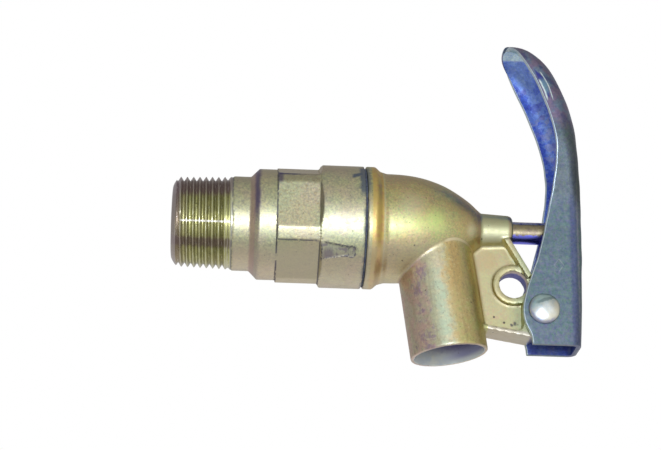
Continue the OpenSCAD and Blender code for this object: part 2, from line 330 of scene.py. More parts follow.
def surface(f, lo, hi, h, project=3):
    """Dual surface of f = 0 inside the box, pulled onto the true surface, with its normals."""
    ax = [np.arange(l, u + h, h) for l, u in zip(lo, hi)]
    D = np.empty([len(a) for a in ax], np.float32)
    Y, Z = np.meshgrid(ax[1], ax[2], indexing="ij")
    for s in range(0, len(ax[0]), 24):
        xs = ax[0][s:s + 24]
        X = np.broadcast_to(xs[:, None, None], (len(xs),) + Y.shape)
        D[s:s + 24] = f(X, np.broadcast_to(Y, X.shape), np.broadcast_to(Z, X.shape))
    S = D < 0
    nx, ny, nz = D.shape
    cnt = np.zeros((nx - 1, ny - 1, nz - 1), np.int8)
    for a, b, c in CORNERS:
        cnt += S[a:nx - 1 + a, b:ny - 1 + b, c:nz - 1 + c]
    idx = np.argwhere((cnt > 0) & (cnt < 8))
    cell = np.full(cnt.shape, -1, np.int32)
    cell[idx[:, 0], idx[:, 1], idx[:, 2]] = np.arange(len(idx))
    acc = np.zeros((len(idx), 3)); num = np.zeros(len(idx))
    vals = [D[idx[:, 0] + a, idx[:, 1] + b, idx[:, 2] + c] for a, b, c in CORNERS]
    for p, q in EDGES:
        dp, dq = vals[p], vals[q]
        m = (dp < 0) != (dq < 0)
        t = np.where(m, dp / np.where(m, dp - dq, 1), 0)
        a = np.array(CORNERS[p], float); b = np.array(CORNERS[q], float)
        acc += np.where(m[:, None], a + t[:, None] * (b - a), 0)
        num += m
    V = np.array([a[0] for a in ax]) + h * (idx + acc / num[:, None])
    faces = []
    for axis in range(3):
        u, w = [(1, 2), (2, 0), (0, 1)][axis]
        sl0 = [slice(None)] * 3; sl1 = [slice(None)] * 3
        sl0[axis] = slice(0, -1); sl1[axis] = slice(1, None)
        a = S[tuple(sl0)]; b = S[tuple(sl1)]
        e = np.argwhere(a != b)
        keep = (e[:, u] > 0) & (e[:, w] > 0) & (e[:, u] < D.shape[u] - 1) & (e[:, w] < D.shape[w] - 1)
        e = e[keep]
        up = a[e[:, 0], e[:, 1], e[:, 2]]
        def at(du, dw):
            q = e.copy(); q[:, u] -= du; q[:, w] -= dw
            return cell[q[:, 0], q[:, 1], q[:, 2]]
        quad = np.stack([at(1, 1), at(0, 1), at(0, 0), at(1, 0)], -1)
        quad[~up] = quad[~up][:, ::-1]
        faces.append(quad)
    F = np.concatenate(faces)

    def grad(P, e=0.04):
        g = np.empty_like(P)
        for i in range(3):
            d = np.zeros(3); d[i] = e
            A = P + d; B = P - d
            g[:, i] = f(A[:, 0], A[:, 1], A[:, 2]) - f(B[:, 0], B[:, 1], B[:, 2])
        return g / (2 * e)

    for _ in range(project):
        g = grad(V)
        s = f(V[:, 0], V[:, 1], V[:, 2])
        L = np.maximum((g * g).sum(1), 0.25)
        step = g * (s / L)[:, None]
        n = np.linalg.norm(step, axis=1)
        lim = 0.45 * h
        V = V - step * np.minimum(1, lim / np.maximum(n, 1e-9))[:, None]
    g = grad(V, 0.12)
    N = g / np.maximum(np.linalg.norm(g, axis=1), 1e-9)[:, None]
    return V, F, N


# ------------------------------------------------------------------ brass

def cast_brass(name, parts="inlet"):
    """Cast and tumbled brass: pale gold with greenish and pinkish casts, fine grain, pits, stains, painted highlights
    and painted shade.
    """
    mat, t, b, p = material(name)
    x, y, z = t.xyz(p)
    inlet_side = parts == "inlet"
    big = t.noise(p, 0.085, 3, 0.55)
    big2 = t.noise(t.v("ADD", p, (31.0, 7.0, 13.0)), 0.12, 3, 0.6)
    mid = t.noise(p, 0.6, 4, 0.65)
    grain = t.noise(p, 1.45, 3, 0.72)
    hue = t.noise(t.v("ADD", p, (3.0, 17.0, 9.0)), 1.5, 3, 0.7)
    fine = t.noise(p, 5.5, 2, 0.6)
    wob = t.m("MULTIPLY", t.m("SUBTRACT", t.noise(p, 0.9, 4, 0.65), 0.5), 1.8)
    front = t.span(y, 2.0, -2.0)
    arcz = t.m("ARCTAN2", z, t.m("MULTIPLY", y, -1.0))      # 0 on the near side, + upwards
    if inlet_side:
        gold, green, pink, dark = (0.66, 0.615, 0.375), (0.60, 0.625, 0.375), (0.68, 0.585, 0.42), (0.50, 0.46, 0.29)
    else:
        gold, green, pink, dark = (0.67, 0.565, 0.255), (0.61, 0.62, 0.28), (0.68, 0.53, 0.30), (0.50, 0.41, 0.19)
    col = t.mix(t.span(big, 0.38, 0.62), gold, green)
    col = t.mix(t.m("MULTIPLY", t.span(big2, 0.46, 0.68), 0.7), col, pink)
    col = t.mix(t.m("MULTIPLY", t.span(mid, 0.52, 0.74), 0.55), col, dark)
    col = t.mix(t.m("MULTIPLY", t.span(hue, 0.54, 0.70), 0.35), col, (0.56, 0.63, 0.33))
    col = t.mix(t.m("MULTIPLY", t.span(hue, 0.44, 0.30), 0.40), col, (0.70, 0.52, 0.36))
    col = t.mix(1.0, col, t.node("ShaderNodeCombineColor", {
        0: t.span(grain, 0.25, 0.75, 0.62, 1.32, False),
        1: t.span(grain, 0.25, 0.75, 0.64, 1.30, False),
        2: t.span(t.m("ADD", t.m("MULTIPLY", grain, 0.5), t.m("MULTIPLY", fine, 0.5)), 0.3, 0.7, 0.66, 1.28, False)}).outputs[0], "MULTIPLY")
    rough = t.m("ADD", t.span(mid, 0.3, 0.7, 0.31, 0.41), t.span(grain, 0.3, 0.7, -0.05, 0.08))
    # pits
    vo = t.voronoi(t.v("ADD", p, t.v("SCALE", t.join(mid, grain, fine), scale=0.8)), 0.30)
    pick = t.xyz(vo.outputs["Color"])[0]
    pit = t.m("MULTIPLY", t.span(vo.outputs["Distance"], 0.10, 0.05), t.m("GREATER_THAN", pick, 0.88))
    vo2 = t.voronoi(t.v("ADD", p, (5.0, 3.0, 9.0)), 0.9)
    pick2 = t.xyz(vo2.outputs["Color"])[1]
    pin = t.m("MULTIPLY", t.span(vo2.outputs["Distance"], 0.20, 0.10), t.m("GREATER_THAN", pick2, 0.86))
    marks = t.top(t.m("MULTIPLY", pit, 0.8), t.m("MULTIPLY", pin, 0.5))
    height = t.m("ADD", t.m("MULTIPLY", grain, 0.8), t.m("MULTIPLY", mid, 1.0))
    height = t.m("SUBTRACT", height, t.m("MULTIPLY", marks, 1.0))
    shade_lines_and_specks = None
    if inlet_side:
        # turned, brighter thread and neck
        cut = t.span(x, 17.7, 17.1)
        neck = t.m("MULTIPLY", t.span(x, 23.2, 21.8), t.span(x, 17.1, 17.7))
        lines = t.noise(t.join(t.m("MULTIPLY", x, 9.0), t.m("MULTIPLY", arcz, 1.2), 0.0), 1.0, 3, 0.6)
        groove = t.m("MULTIPLY", cut, t.span(t.v("LENGTH", t.join(0.0, y, z)), 12.75, 12.2))
        rad = t.v("LENGTH", t.join(0.0, y, z))
        col = t.mix(t.m("MULTIPLY", cut, 0.6), col, (0.63, 0.615, 0.36))
        # painted shade on the thread's flanks and a painted highlight on its crests and roots
        flank = t.m("MULTIPLY", cut, t.m("MULTIPLY", t.span(rad, 13.0, 12.75), t.span(rad, 12.0, 12.2)))
        flank = t.m("MULTIPLY", flank, t.span(x, 2.2, 3.2))
        col = t.mix(t.m("MULTIPLY", flank, t.span(mid, 0.35, 0.6, 0.45, 0.78)), col, (0.36, 0.355, 0.21))
        shine = t.m("MULTIPLY", t.m("SUBTRACT", cut, flank), t.span(x, 2.0, 3.0))
        col = t.mix(t.m("MULTIPLY", shine, 0.5), col, (0.82, 0.84, 0.56))
        # painted shade: purple-brown on the upper and lower sides of the thread
        tp = t.m("MULTIPLY", cut, t.span(t.m("ADD", arcz, t.m("MULTIPLY", wob, 0.10)), 0.25, 0.50))
        col = t.mix(t.m("MULTIPLY", tp, 0.72), col, (0.38, 0.29, 0.32))
        tl = t.m("MULTIPLY", cut, t.band(t.m("ADD", arcz, t.m("MULTIPLY", wob, 0.08)), -0.82, 0.07, 0.10))
        col = t.mix(t.m("MULTIPLY", tl, 0.58), col, (0.36, 0.28, 0.30))
        mouth = t.m("MULTIPLY", t.span(t.m("ADD", x, t.m("MULTIPLY", wob, 0.35)), 2.6, 1.3), t.span(z, 9.0, -6.0, 0.95, 0.55))
        col = t.mix(mouth, col, (0.52, 0.46, 0.46))
        shade = t.m("MULTIPLY", cut, t.span(t.m("ADD", x, t.m("MULTIPLY", wob, 0.5)), 5.0, 2.0, 0.0, 0.35))
        col = t.mix(shade, col, (0.44, 0.35, 0.37))
        # painted shade: a dark band where the thread ends against the neck
        ended = t.m("MULTIPLY", t.band(t.m("ADD", x, t.m("MULTIPLY", wob, 0.12)), 17.35, 0.10, 0.22), t.span(t.noise(p, 0.5, 3), 0.30, 0.48))
        rough = t.lerp(cut, rough, t.span(lines, 0.3, 0.7, 0.13, 0.27))
        glint = t.m("MULTIPLY", t.m("MULTIPLY", cut, t.span(x, 2.2, 3.0)), t.band(t.m("ADD", arcz, t.m("MULTIPLY", wob, 0.012)), -0.314, 0.011, 0.020))
        col = t.mix(t.m("MULTIPLY", glint, 0.95), col, (1.0, 0.99, 0.92))
        rough = t.lerp(glint, rough, 0.42)
        rough = t.lerp(t.m("MULTIPLY", neck, 0.6), rough, 0.37)
        height = t.m("ADD", height, t.m("MULTIPLY", t.m("MULTIPLY", lines, cut), 0.6))
        # painted light: pinkish-grey underside; painted shade: browner, darker upper side
        low = t.m("MULTIPLY", t.span(t.m("ADD", arcz, t.m("MULTIPLY", wob, 0.08)), -0.62, -0.95), t.span(x, 17.4, 18.2))
        col = t.mix(t.m("MULTIPLY", low, 0.5), col, (0.70, 0.60, 0.47))
        upper = t.m("MULTIPLY", t.span(t.m("ADD", arcz, t.m("MULTIPLY", wob, 0.10)), 0.45, 0.85), t.span(x, 17.4, 18.2))
        col = t.mix(t.m("MULTIPLY", upper, 0.55), col, (0.60, 0.50, 0.37))
        # flats keep the rough skin of the casting
        flat = t.m("MULTIPLY", t.span(x, 30.2, 30.6), t.span(x, 42.3, 41.9))
        skin = t.noise(p, 1.3, 5, 0.75)
        height = t.m("ADD", height, t.m("MULTIPLY", t.m("MULTIPLY", skin, flat), 1.6))
        upf = t.m("MULTIPLY", flat, t.span(arcz, -0.60, -0.50))
        speck = t.noise(t.v("ADD", p, (2.0, 8.0, 5.0)), 1.5, 3, 0.75)
        col = t.mix(t.m("MULTIPLY", t.m("MULTIPLY", upf, t.span(skin, 0.52, 0.66)), 0.70), col, (0.46, 0.36, 0.19))
        col = t.mix(t.m("MULTIPLY", t.m("MULTIPLY", upf, t.span(skin, 0.46, 0.35)), 0.45), col, (0.60, 0.68, 0.40))
        col = t.mix(t.m("MULTIPLY", t.m("MULTIPLY", upf, t.span(speck, 0.60, 0.68)), 0.75), col, (0.84, 0.64, 0.46))
        # lower flat smoother and browner
        lf = t.m("MULTIPLY", flat, t.span(arcz, -0.60, -0.66))
        col = t.mix(t.m("MULTIPLY", lf, 0.55), col, (0.61, 0.565, 0.385))
        # painted shade: dark lines where the shoulder meets the hexagon, at the foot of the neck, under the bright
        # corner and at the steps onto the collar
        e1 = t.m("MULTIPLY", t.span(t.m("ABSOLUTE", t.m("SUBTRACT", x, 30.15)), 0.36, 0.10), t.span(t.noise(p, 0.5, 3), 0.36, 0.52))
        xw = t.m("ADD", x, t.m("MULTIPLY", wob, 0.25))
        xv = t.m("ADD", xw, t.m("MULTIPLY", t.m("SUBTRACT", t.noise(p, 0.4, 3), 0.5), 1.2))
        e2 = t.m("MULTIPLY", t.span(xv, 23.3, 23.8), t.span(xv, 25.8, 24.5))
        e2 = t.m("MULTIPLY", e2, t.span(t.m("ADD", arcz, t.m("MULTIPLY", wob, 0.10)), -0.50, 0.10, 0.22, 1.0))
        col = t.mix(t.m("MULTIPLY", e2, 0.85), col, (0.15, 0.115, 0.24))
        pk = t.m("MULTIPLY", t.span(xw, 22.0, 22.8), t.span(xw, 24.2, 23.6))
        col = t.mix(t.m("MULTIPLY", pk, 0.6), col, (0.56, 0.38, 0.33))
        e3 = t.m("MULTIPLY", flat, t.span(t.m("ABSOLUTE", t.m("ADD", arcz, 0.585)), 0.022, 0.006))
        e4 = t.m("MULTIPLY", t.span(t.m("ABSOLUTE", t.m("SUBTRACT", x, 42.35)), 0.32, 0.08), t.span(arcz, -0.56, -0.62))
        e5 = t.m("MULTIPLY", t.m("MULTIPLY", t.span(x, 42.0, 42.3), t.span(x, 43.4, 43.1)), t.m("MULTIPLY", t.span(arcz, -0.34, -0.26), t.span(arcz, 0.50, 0.44)))
        e5 = t.m("MULTIPLY", e5, t.span(t.v("LENGTH", t.join(0.0, y, z)), 17.84, 17.6))
        shade_lines_and_specks = t.top(t.m("MULTIPLY", ended, 0.7), t.m("MULTIPLY", e1, 0.9), t.m("MULTIPLY", e3, t.span(mid, 0.36, 0.5, 0.2, 0.8)), t.m("MULTIPLY", e4, 0.8), t.m("MULTIPLY", e5, 0.55))
        # key-shaped shallow mark on the collar, seen from the near side
        zz = t.m("ADD", z, t.m("MULTIPLY", wob, 0.30))
        xx = t.m("ADD", x, t.m("MULTIPLY", wob, 0.24))
        ztop = t.span(xx, 43.0, 50.2, -9.95, -11.0, False)
        zbot = t.span(xx, 43.0, 49.4, -13.85, -13.05, False)
        inbar = t.m("MINIMUM", t.m("MINIMUM", t.m("SUBTRACT", ztop, zz), t.m("SUBTRACT", zz, zbot)),
                    t.m("MINIMUM", t.m("SUBTRACT", xx, 42.95), t.m("SUBTRACT", 50.6, xx)))
        disc = t.m("SUBTRACT", 1.22, t.v("DISTANCE", t.join(xx, 0.0, zz), (51.4, 0.0, -12.1)))
        inside = t.m("MAXIMUM", inbar, disc)
        near = t.m("MULTIPLY", front, t.m("GREATER_THAN", x, 42.6))
        rim = t.m("MULTIPLY", t.span(t.m("ABSOLUTE", inside), 0.40, 0.06), near)
        fill = t.m("MULTIPLY", t.span(inside, 0.0, 0.35), near)
        deep = t.m("MULTIPLY", fill, t.span(t.v("DISTANCE", t.join(xx, 0.0, zz), (44.9, 0.0, -12.9)), 2.2, 0.7))
        deep = t.top(deep, t.m("MULTIPLY", fill, t.span(t.noise(p, 0.8, 3), 0.50, 0.62)))
        col = t.mix(t.m("MULTIPLY", fill, 0.45), col, (0.40, 0.41, 0.34))
        col = t.mix(t.m("MULTIPLY", deep, 0.6), col, (0.24, 0.19, 0.26))
        # painted shade: the key mark's rim is darkened with the same mask
        shade_lines_and_specks = t.top(shade_lines_and_specks, t.m("MULTIPLY", rim, t.span(t.noise(p, 1.1, 3), 0.40, 0.58, 0.15, 0.95)))
        # blue-grey stain that runs down from the seam's top
        aw = t.m("ADD", arcz, t.m("MULTIPLY", wob, 0.07))
        s1 = t.m("MULTIPLY", t.span(t.m("ADD", x, t.m("MULTIPLY", wob, 0.9)), 53.0, 54.0), t.span(aw, 0.12, 0.30))
        s1 = t.m("MULTIPLY", s1, t.span(aw, 1.05, 0.88))
        tip = t.m("SUBTRACT", x, 50.9)
        s2 = t.m("MULTIPLY", t.m("MULTIPLY", t.span(t.m("ADD", x, t.m("MULTIPLY", wob, 0.3)), 50.9, 51.8), t.span(x, 54.9, 54.2)),
                 t.span(t.m("ABSOLUTE", t.m("SUBTRACT", t.m("ADD", arcz, t.m("MULTIPLY", wob, 0.02)), t.m("ADD", 0.60, t.m("MULTIPLY", tip, 0.03)))), 0.075, 0.03))
        s4 = t.m("MULTIPLY", t.blob(p, (54.6, -16.3, 6.9), 0.5, 1.1, t.m("MULTIPLY", wob, 0.6)), 0.8)
        s3 = t.m("MULTIPLY", t.span(t.m("ADD", x, t.m("MULTIPLY", wob, 0.45)), 54.1, 55.1), t.span(t.noise(p, 0.45, 3), 0.42, 0.60, 0.10, 0.80))
        seam = t.m("MULTIPLY", t.top(t.m("MULTIPLY", s1, 0.9), t.m("MULTIPLY", s2, 1.0), s4, t.m("MULTIPLY", s3, 0.8)), t.m("LESS_THAN", y, 12.0))
        col = t.mix(t.m("MULTIPLY", seam, 0.90), col, (0.13, 0.17, 0.24))
        rough = t.m("ADD", rough, t.m("MULTIPLY", seam, 0.10))
        # painted shade: the hexagon's upper corner darkened, a dark line along the top flat's upper edge and a dark
        # patch at the flats' upper left end
        c1 = t.m("MULTIPLY", flat, t.band(t.m("ADD", arcz, t.m("MULTIPLY", wob, 0.03)), 0.585, 0.09, 0.06))
        col = t.mix(t.m("MULTIPLY", c1, t.span(t.noise(p, 0.8, 3), 0.36, 0.6, 0.20, 0.5)), col, (0.42, 0.35, 0.23))
        c2 = t.m("MULTIPLY", flat, t.span(t.m("ABSOLUTE", t.m("SUBTRACT", t.m("ADD", arcz, t.m("MULTIPLY", wob, 0.02)), 0.66)), 0.035, 0.012))
        c2 = t.m("MULTIPLY", c2, t.span(t.m("ADD", x, t.m("MULTIPLY", wob, 4.0)), 39.0, 34.0, 0.15, 1.0))
        col = t.mix(t.m("MULTIPLY", c2, 0.85), col, (0.09, 0.09, 0.20))
        c3 = t.m("MULTIPLY", t.m("MULTIPLY", t.span(t.m("ADD", x, t.m("MULTIPLY", wob, 0.5)), 32.2, 31.0), t.span(x, 29.9, 30.3)), t.band(arcz, 0.62, 0.14, 0.08))
        col = t.mix(t.m("MULTIPLY", c3, 0.7), col, (0.12, 0.10, 0.20))
    else:
        # dark-gold machined band beside the flange
        w2 = t.m("MULTIPLY", wob, 0.14)
        gold = t.m("MULTIPLY", t.span(t.m("ADD", x, w2), 56.9, 57.3), t.span(t.m("ADD", x, t.m("MULTIPLY", w2, 0.5)), 60.5, 60.25))
        goldc = t.mix(t.span(t.noise(p, 0.6, 3), 0.45, 0.68), (0.74, 0.55, 0.17), (0.70, 0.44, 0.18))
        col = t.mix(t.m("MULTIPLY", gold, 0.92), col, goldc)
        rough = t.lerp(gold, rough, 0.38)
        # painted highlight: a thin pale line along the step's edge before the dome
        pale = t.m("MULTIPLY", t.span(x, 60.3, 60.5), t.span(x, 61.0, 60.75))
        col = t.mix(t.m("MULTIPLY", pale, 0.35), col, (0.76, 0.70, 0.44))
        flange = t.m("MULTIPLY", t.span(x, 55.6, 55.8), t.span(x, 56.8, 56.3))
        col = t.mix(t.m("MULTIPLY", flange, 0.5), col, (0.68, 0.63, 0.40))
        # seam stain carried over on to the flange
        aw = t.m("ADD", arcz, t.m("MULTIPLY", wob, 0.07))
        s3 = t.m("MULTIPLY", t.span(t.m("ADD", x, t.m("MULTIPLY", wob, 0.4)), 56.7, 55.7), t.span(t.noise(p, 0.45, 3), 0.40, 0.60, 0.15, 0.85))
        s1 = t.m("MULTIPLY", t.span(t.m("ADD", x, t.m("MULTIPLY", wob, 1.3)), 57.1, 56.0), t.m("MULTIPLY", t.span(aw, 0.14, 0.34), t.span(aw, 1.08, 0.90)))
        seam = t.m("MULTIPLY", t.top(t.m("MULTIPLY", s3, 0.8), s1), t.m("LESS_THAN", y, 12.0))
        col = t.mix(t.m("MULTIPLY", seam, 0.75), col, (0.18, 0.23, 0.25))
        # painted highlight: green-tinted bright patches on the dome's flank; reddish towards its far end
        gr3 = t.m("ADD", t.m("MULTIPLY", t.m("SUBTRACT", grain, 0.5), 3.0), t.m("MULTIPLY", wob, 1.0))
        g1 = t.top(t.m("MULTIPLY", t.blob(p, (74.8, -13.3, -2.0), 0.5, 5.0, gr3), 0.62), t.m("MULTIPLY", t.blob(p, (70.8, -14.2, -3.4), 0.5, 4.4, gr3), 0.40))
        col = t.mix(g1, col, (0.74, 0.92, 0.30))
        # painted highlights: a pale patch on the dome's near flank and a small cream patch near its right end
        yl = t.m("MULTIPLY", t.blob(p, (68.5, -15.0, 2.5), 1.0, 5.0, t.m("MULTIPLY", wob, 0.8)), t.span(x, 61.0, 64.0))
        col = t.mix(t.m("MULTIPLY", yl, 0.5), col, (0.76, 0.72, 0.44))
        cream = t.blob(p, (86.4, -7.6, -2.6), 0.5, 2.6, t.m("MULTIPLY", wob, 0.8))
        r1 = t.m("MULTIPLY", t.span(t.m("ADD", x, t.m("MULTIPLY", wob, 0.8)), 79.5, 87.0), t.span(x, 90.2, 89.6))
        col = t.mix(t.m("MULTIPLY", r1, 0.55), col, (0.66, 0.48, 0.23))
        col = t.mix(t.m("MULTIPLY", cream, 0.75), col, (0.86, 0.80, 0.50))
        ror = t.m("MULTIPLY", t.m("MULTIPLY", t.span(x, 76.0, 80.0), t.span(x, 88.0, 85.0)), t.band(t.m("ADD", z, t.m("MULTIPLY", wob, 1.5)), 3.4, 1.0, 1.8))
        col = t.mix(t.m("MULTIPLY", ror, 0.5), col, (0.74, 0.54, 0.22))
        # painted shade: darker brown, speckled upper side of the dome
        top = t.m("MULTIPLY", t.span(t.m("ADD", arcz, t.m("MULTIPLY", wob, 0.10)), 0.30, 0.85), t.span(x, 60.5, 62.0))
        spk = t.noise(p, 1.1, 4, 0.75)
        col = t.mix(t.m("MULTIPLY", top, t.span(spk, 0.40, 0.62, 0.25, 0.8)), col, (0.56, 0.43, 0.25))
        body = t.m("MULTIPLY", t.span(x, 60.3, 61.0), t.span(z, -13.0, -9.0))
        col = t.mix(t.m("MULTIPLY", body, t.m("MULTIPLY", t.span(hue, 0.52, 0.66), 0.40)), col, (0.50, 0.60, 0.26))
        col = t.mix(t.m("MULTIPLY", body, t.m("MULTIPLY", t.span(hue, 0.47, 0.33), 0.42)), col, (0.74, 0.46, 0.30))
        # painted light: pinkish-grey underside of the dome
        und = t.m("MULTIPLY", t.span(t.m("ADD", arcz, t.m("MULTIPLY", wob, 0.10)), -0.45, -0.75), t.span(x, 86.0, 80.0))
        col = t.mix(t.m("MULTIPLY", und, 0.5), col, (0.68, 0.60, 0.44))
        edge = t.m("MULTIPLY", t.span(x, 87.9, 88.7), t.span(x, 89.55, 89.25))
        col = t.mix(t.m("MULTIPLY", edge, 0.55), col, (0.48, 0.33, 0.22))
        # spout: darker gold, vertical drag marks, purple-grey flank, brown far flank
        sx = t.m("ADD", x, t.m("MULTIPLY", z, 0.1477))
        u = t.v("DOT_PRODUCT", t.v("SUBTRACT", p, (74.96, 0.0, 0.0)), (0.146083, 0.0, -0.989272))
        foot = t.v("ADD", (74.96, 0.0, 0.0), t.v("SCALE", (0.146083, 0.0, -0.989272), scale=u))
        q = t.v("DISTANCE", p, foot)
        spout = t.m("MULTIPLY", t.span(q, 11.36, 11.20), t.m("MULTIPLY", t.span(z, -5.5, -7.5), t.m("MULTIPLY", t.span(sx, 87.0, 86.2), t.span(sx, 62.5, 63.2))))
        streak = t.noise(t.join(t.m("MULTIPLY", sx, 1.1), t.m("MULTIPLY", y, 1.1), t.m("MULTIPLY", z, 0.07)), 1.0, 3, 0.6)
        blot = t.noise(p, 0.33, 4, 0.65)
        sw = t.m("ADD", sx, t.m("ADD", t.m("MULTIPLY", wob, 1.6), t.m("MULTIPLY", t.m("SUBTRACT", blot, 0.5), 8.0)))
        lft = t.m("MULTIPLY", spout, t.span(sw, 72.0, 68.0))
        col = t.mix(t.m("MULTIPLY", lft, 0.65), col, t.mix(t.span(blot, 0.42, 0.58), (0.70, 0.47, 0.44), (0.64, 0.58, 0.46)))
        purple = t.m("MULTIPLY", t.m("MULTIPLY", spout, t.band(sw, 68.6, 1.5, 2.0)), t.span(t.noise(t.v("ADD", p, (4.0, 1.0, 6.0)), 0.30, 4, 0.7), 0.47, 0.60))
        col = t.mix(t.m("MULTIPLY", purple, 0.65), col, (0.34, 0.23, 0.37))
        # painted highlight: a greenish band down the spout, left of centre
        cen = t.m("MULTIPLY", spout, t.band(sw, 72.6, 0.6, 3.0))
        cen = t.m("MULTIPLY", cen, t.span(z, -12.0, -19.0, 0.2, 1.0))
        col = t.mix(t.m("MULTIPLY", cen, 0.72), col, t.mix(t.span(blot, 0.42, 0.60), (0.50, 0.64, 0.44), (0.60, 0.64, 0.42)))
        rt = t.m("MULTIPLY", spout, t.span(sw, 74.6, 77.5))
        col = t.mix(t.m("MULTIPLY", rt, 0.85), col, t.mix(t.span(blot, 0.42, 0.58), (0.67, 0.63, 0.25), (0.71, 0.56, 0.25)))
        oran = t.m("MULTIPLY", t.m("MULTIPLY", spout, t.band(sw, 78.6, 0.6, 3.0)), t.span(t.m("ADD", z, t.m("MULTIPLY", wob, 3.0)), -26.0, -15.0, 0.0, 1.0))
        col = t.mix(t.m("MULTIPLY", oran, 0.7), col, (0.76, 0.50, 0.20))
        col = t.mix(t.m("MULTIPLY", t.m("MULTIPLY", spout, t.span(streak, 0.50, 0.68)), 0.30), col, (0.47, 0.40, 0.20))
        col = t.mix(t.m("MULTIPLY", spout, t.m("MULTIPLY", t.span(spk, 0.50, 0.70), 0.60)), col, (0.40, 0.34, 0.20))
        col = t.mix(t.m("MULTIPLY", spout, t.m("MULTIPLY", t.span(spk, 0.45, 0.34), 0.50)), col, (0.84, 0.78, 0.44))
        # inside of the spout: grey and bluish, painted near white for light reaching in, with a painted pool of light
        # (glow) and a painted shadow band deeper in
        inner = t.m("MULTIPLY", t.span(q, 10.45, 10.2), t.span(u, 9.0, 12.0))
        ic = t.mix(t.span(t.noise(p, 0.25, 4, 0.65), 0.40, 0.62), (0.96, 1.0, 0.86), (0.80, 0.88, 0.84))
        glow = t.blob(p, (76.0, 10.0, -38.0), 1.5, 7.0, t.m("MULTIPLY", wob, 1.6))
        ic = t.mix(glow, (0.94, 1.0, 0.94), ic)
        ic = t.mix(t.m("MULTIPLY", t.m("MULTIPLY", t.span(x, 79.0, 86.0), t.span(u, 37.6, 36.0)), 0.8), ic, (0.42, 0.42, 0.70))
        ic = t.mix(t.m("MULTIPLY", t.m("MULTIPLY", t.span(x, 72.0, 69.0), t.span(u, 37.8, 36.5)), 0.6), ic, (0.58, 0.60, 0.48))
        ic = t.mix(t.m("MULTIPLY", t.span(t.m("ADD", u, t.m("MULTIPLY", wob, 1.0)), 35.6, 32.6), t.span(x, 73.0, 83.0, 0.22, 0.92)), ic, (0.24, 0.21, 0.44))
        # painted shade: the crease between spout and dome darkened
        crease = t.m("MULTIPLY", t.band(q, 11.42, 0.16, 0.14), t.span(u, 16.0, 14.0))
        col = t.mix(t.m("MULTIPLY", crease, 0.45), col, (0.50, 0.39, 0.22))
        # painted highlight: a pale line along the right part of that crease
        arch = t.m("MULTIPLY", t.band(q, 11.40, 0.08, 0.12), t.m("MULTIPLY", t.span(u, 12.0, 10.5), t.span(x, 77.5, 79.5)))
        arch = t.m("MULTIPLY", arch, t.m("MULTIPLY", t.span(x, 88.6, 88.0), t.span(u, 2.0, 4.0)))
        arch = t.m("MULTIPLY", arch, t.span(t.m("ADD", x, t.m("MULTIPLY", wob, 1.5)), 80.0, 86.0, 0.60, 0.30))
        col = t.mix(arch, col, (1.0, 0.88, 0.58))
        col = t.mix(inner, col, ic)
        lip = t.m("MULTIPLY", t.span(u, 37.9, 38.1), t.span(q, 10.2, 10.4))
        col = t.mix(t.m("MULTIPLY", lip, 0.6), col, (0.72, 0.60, 0.50))
        # the web's panel is paler and flatter, greener towards the pivot
        web = t.m("MULTIPLY", t.span(sx, 86.3, 86.9), t.span(z, -4.6, -5.6))
        wc = t.mix(t.span(t.m("ADD", x, wob), 97.0, 101.5), (0.63, 0.595, 0.335), (0.50, 0.56, 0.37))
        wc = t.mix(t.m("MULTIPLY", t.span(t.noise(p, 0.35, 4, 0.7), 0.50, 0.66), 0.5), wc, (0.60, 0.62, 0.38))
        col = t.mix(t.m("MULTIPLY", web, 0.65), col, wc)
        panel = t.m("MULTIPLY", web, t.span(y, -2.6, -2.3))
        col = t.mix(t.m("MULTIPLY", panel, t.m("MULTIPLY", t.span(spk, 0.52, 0.66), 0.50)), col, (0.66, 0.44, 0.32))
        col = t.mix(t.m("MULTIPLY", panel, t.m("MULTIPLY", t.span(spk, 0.45, 0.34), 0.40)), col, (0.52, 0.58, 0.40))
        col = t.mix(t.m("MULTIPLY", t.m("MULTIPLY", panel, t.blob(p, (91.5, -1.6, -9.5), 1.5, 3.0, t.m("MULTIPLY", wob, 2.0))), 0.35), col, (0.62, 0.42, 0.22))
        # the web a little rougher; painted light: pinkish-grey along the bottom rail's underside
        rough = t.m("ADD", rough, t.m("MULTIPLY", web, 0.06))
        under = t.m("MULTIPLY", web, t.span(t.m("ADD", z, t.m("MULTIPLY", t.m("SUBTRACT", x, 101.3), 0.155)), -31.0, -31.7))
        col = t.mix(t.m("MULTIPLY", under, 0.6), col, (0.62, 0.55, 0.48))
        spots = t.top(t.blob(p, (99.4, -1.6, -28.2), 0.30, 0.55, t.m("MULTIPLY", wob, 0.7)),
                      t.blob(p, (98.4, -1.6, -28.6), 0.16, 0.45, t.m("MULTIPLY", wob, 0.7)),
                      t.blob(p, (100.2, -1.6, -28.4), 0.1, 0.4, t.m("MULTIPLY", wob, 0.7)))
        # painted light: the boss paler on its lower half, darker and greener on its upper half
        boss = t.m("MULTIPLY", t.span(x, 89.2, 89.5), t.span(z, -5.6, -4.6))
        col = t.mix(t.m("MULTIPLY", boss, 0.8), col, t.mix(t.span(z, -1.5, -3.0), (0.56, 0.58, 0.34), (0.66, 0.67, 0.43)))
        # painted shade: the lock hole's bore goes from a paler lip to deep blue inside
        hl = t.v("LENGTH", t.join(t.m("SUBTRACT", x, 98.9), 0.0, t.m("ADD", z, 16.9)))
        holein = t.m("MULTIPLY", t.span(hl, 4.40, 4.22), t.span(y, -3.15, -2.8))
        hc = t.mix(t.span(t.m("ADD", y, t.m("MULTIPLY", wob, 0.8)), -1.5, -0.5), (0.62, 0.52, 0.44), (0.055, 0.065, 0.34))
        col = t.mix(t.m("MULTIPLY", holein, 0.9), col, hc)
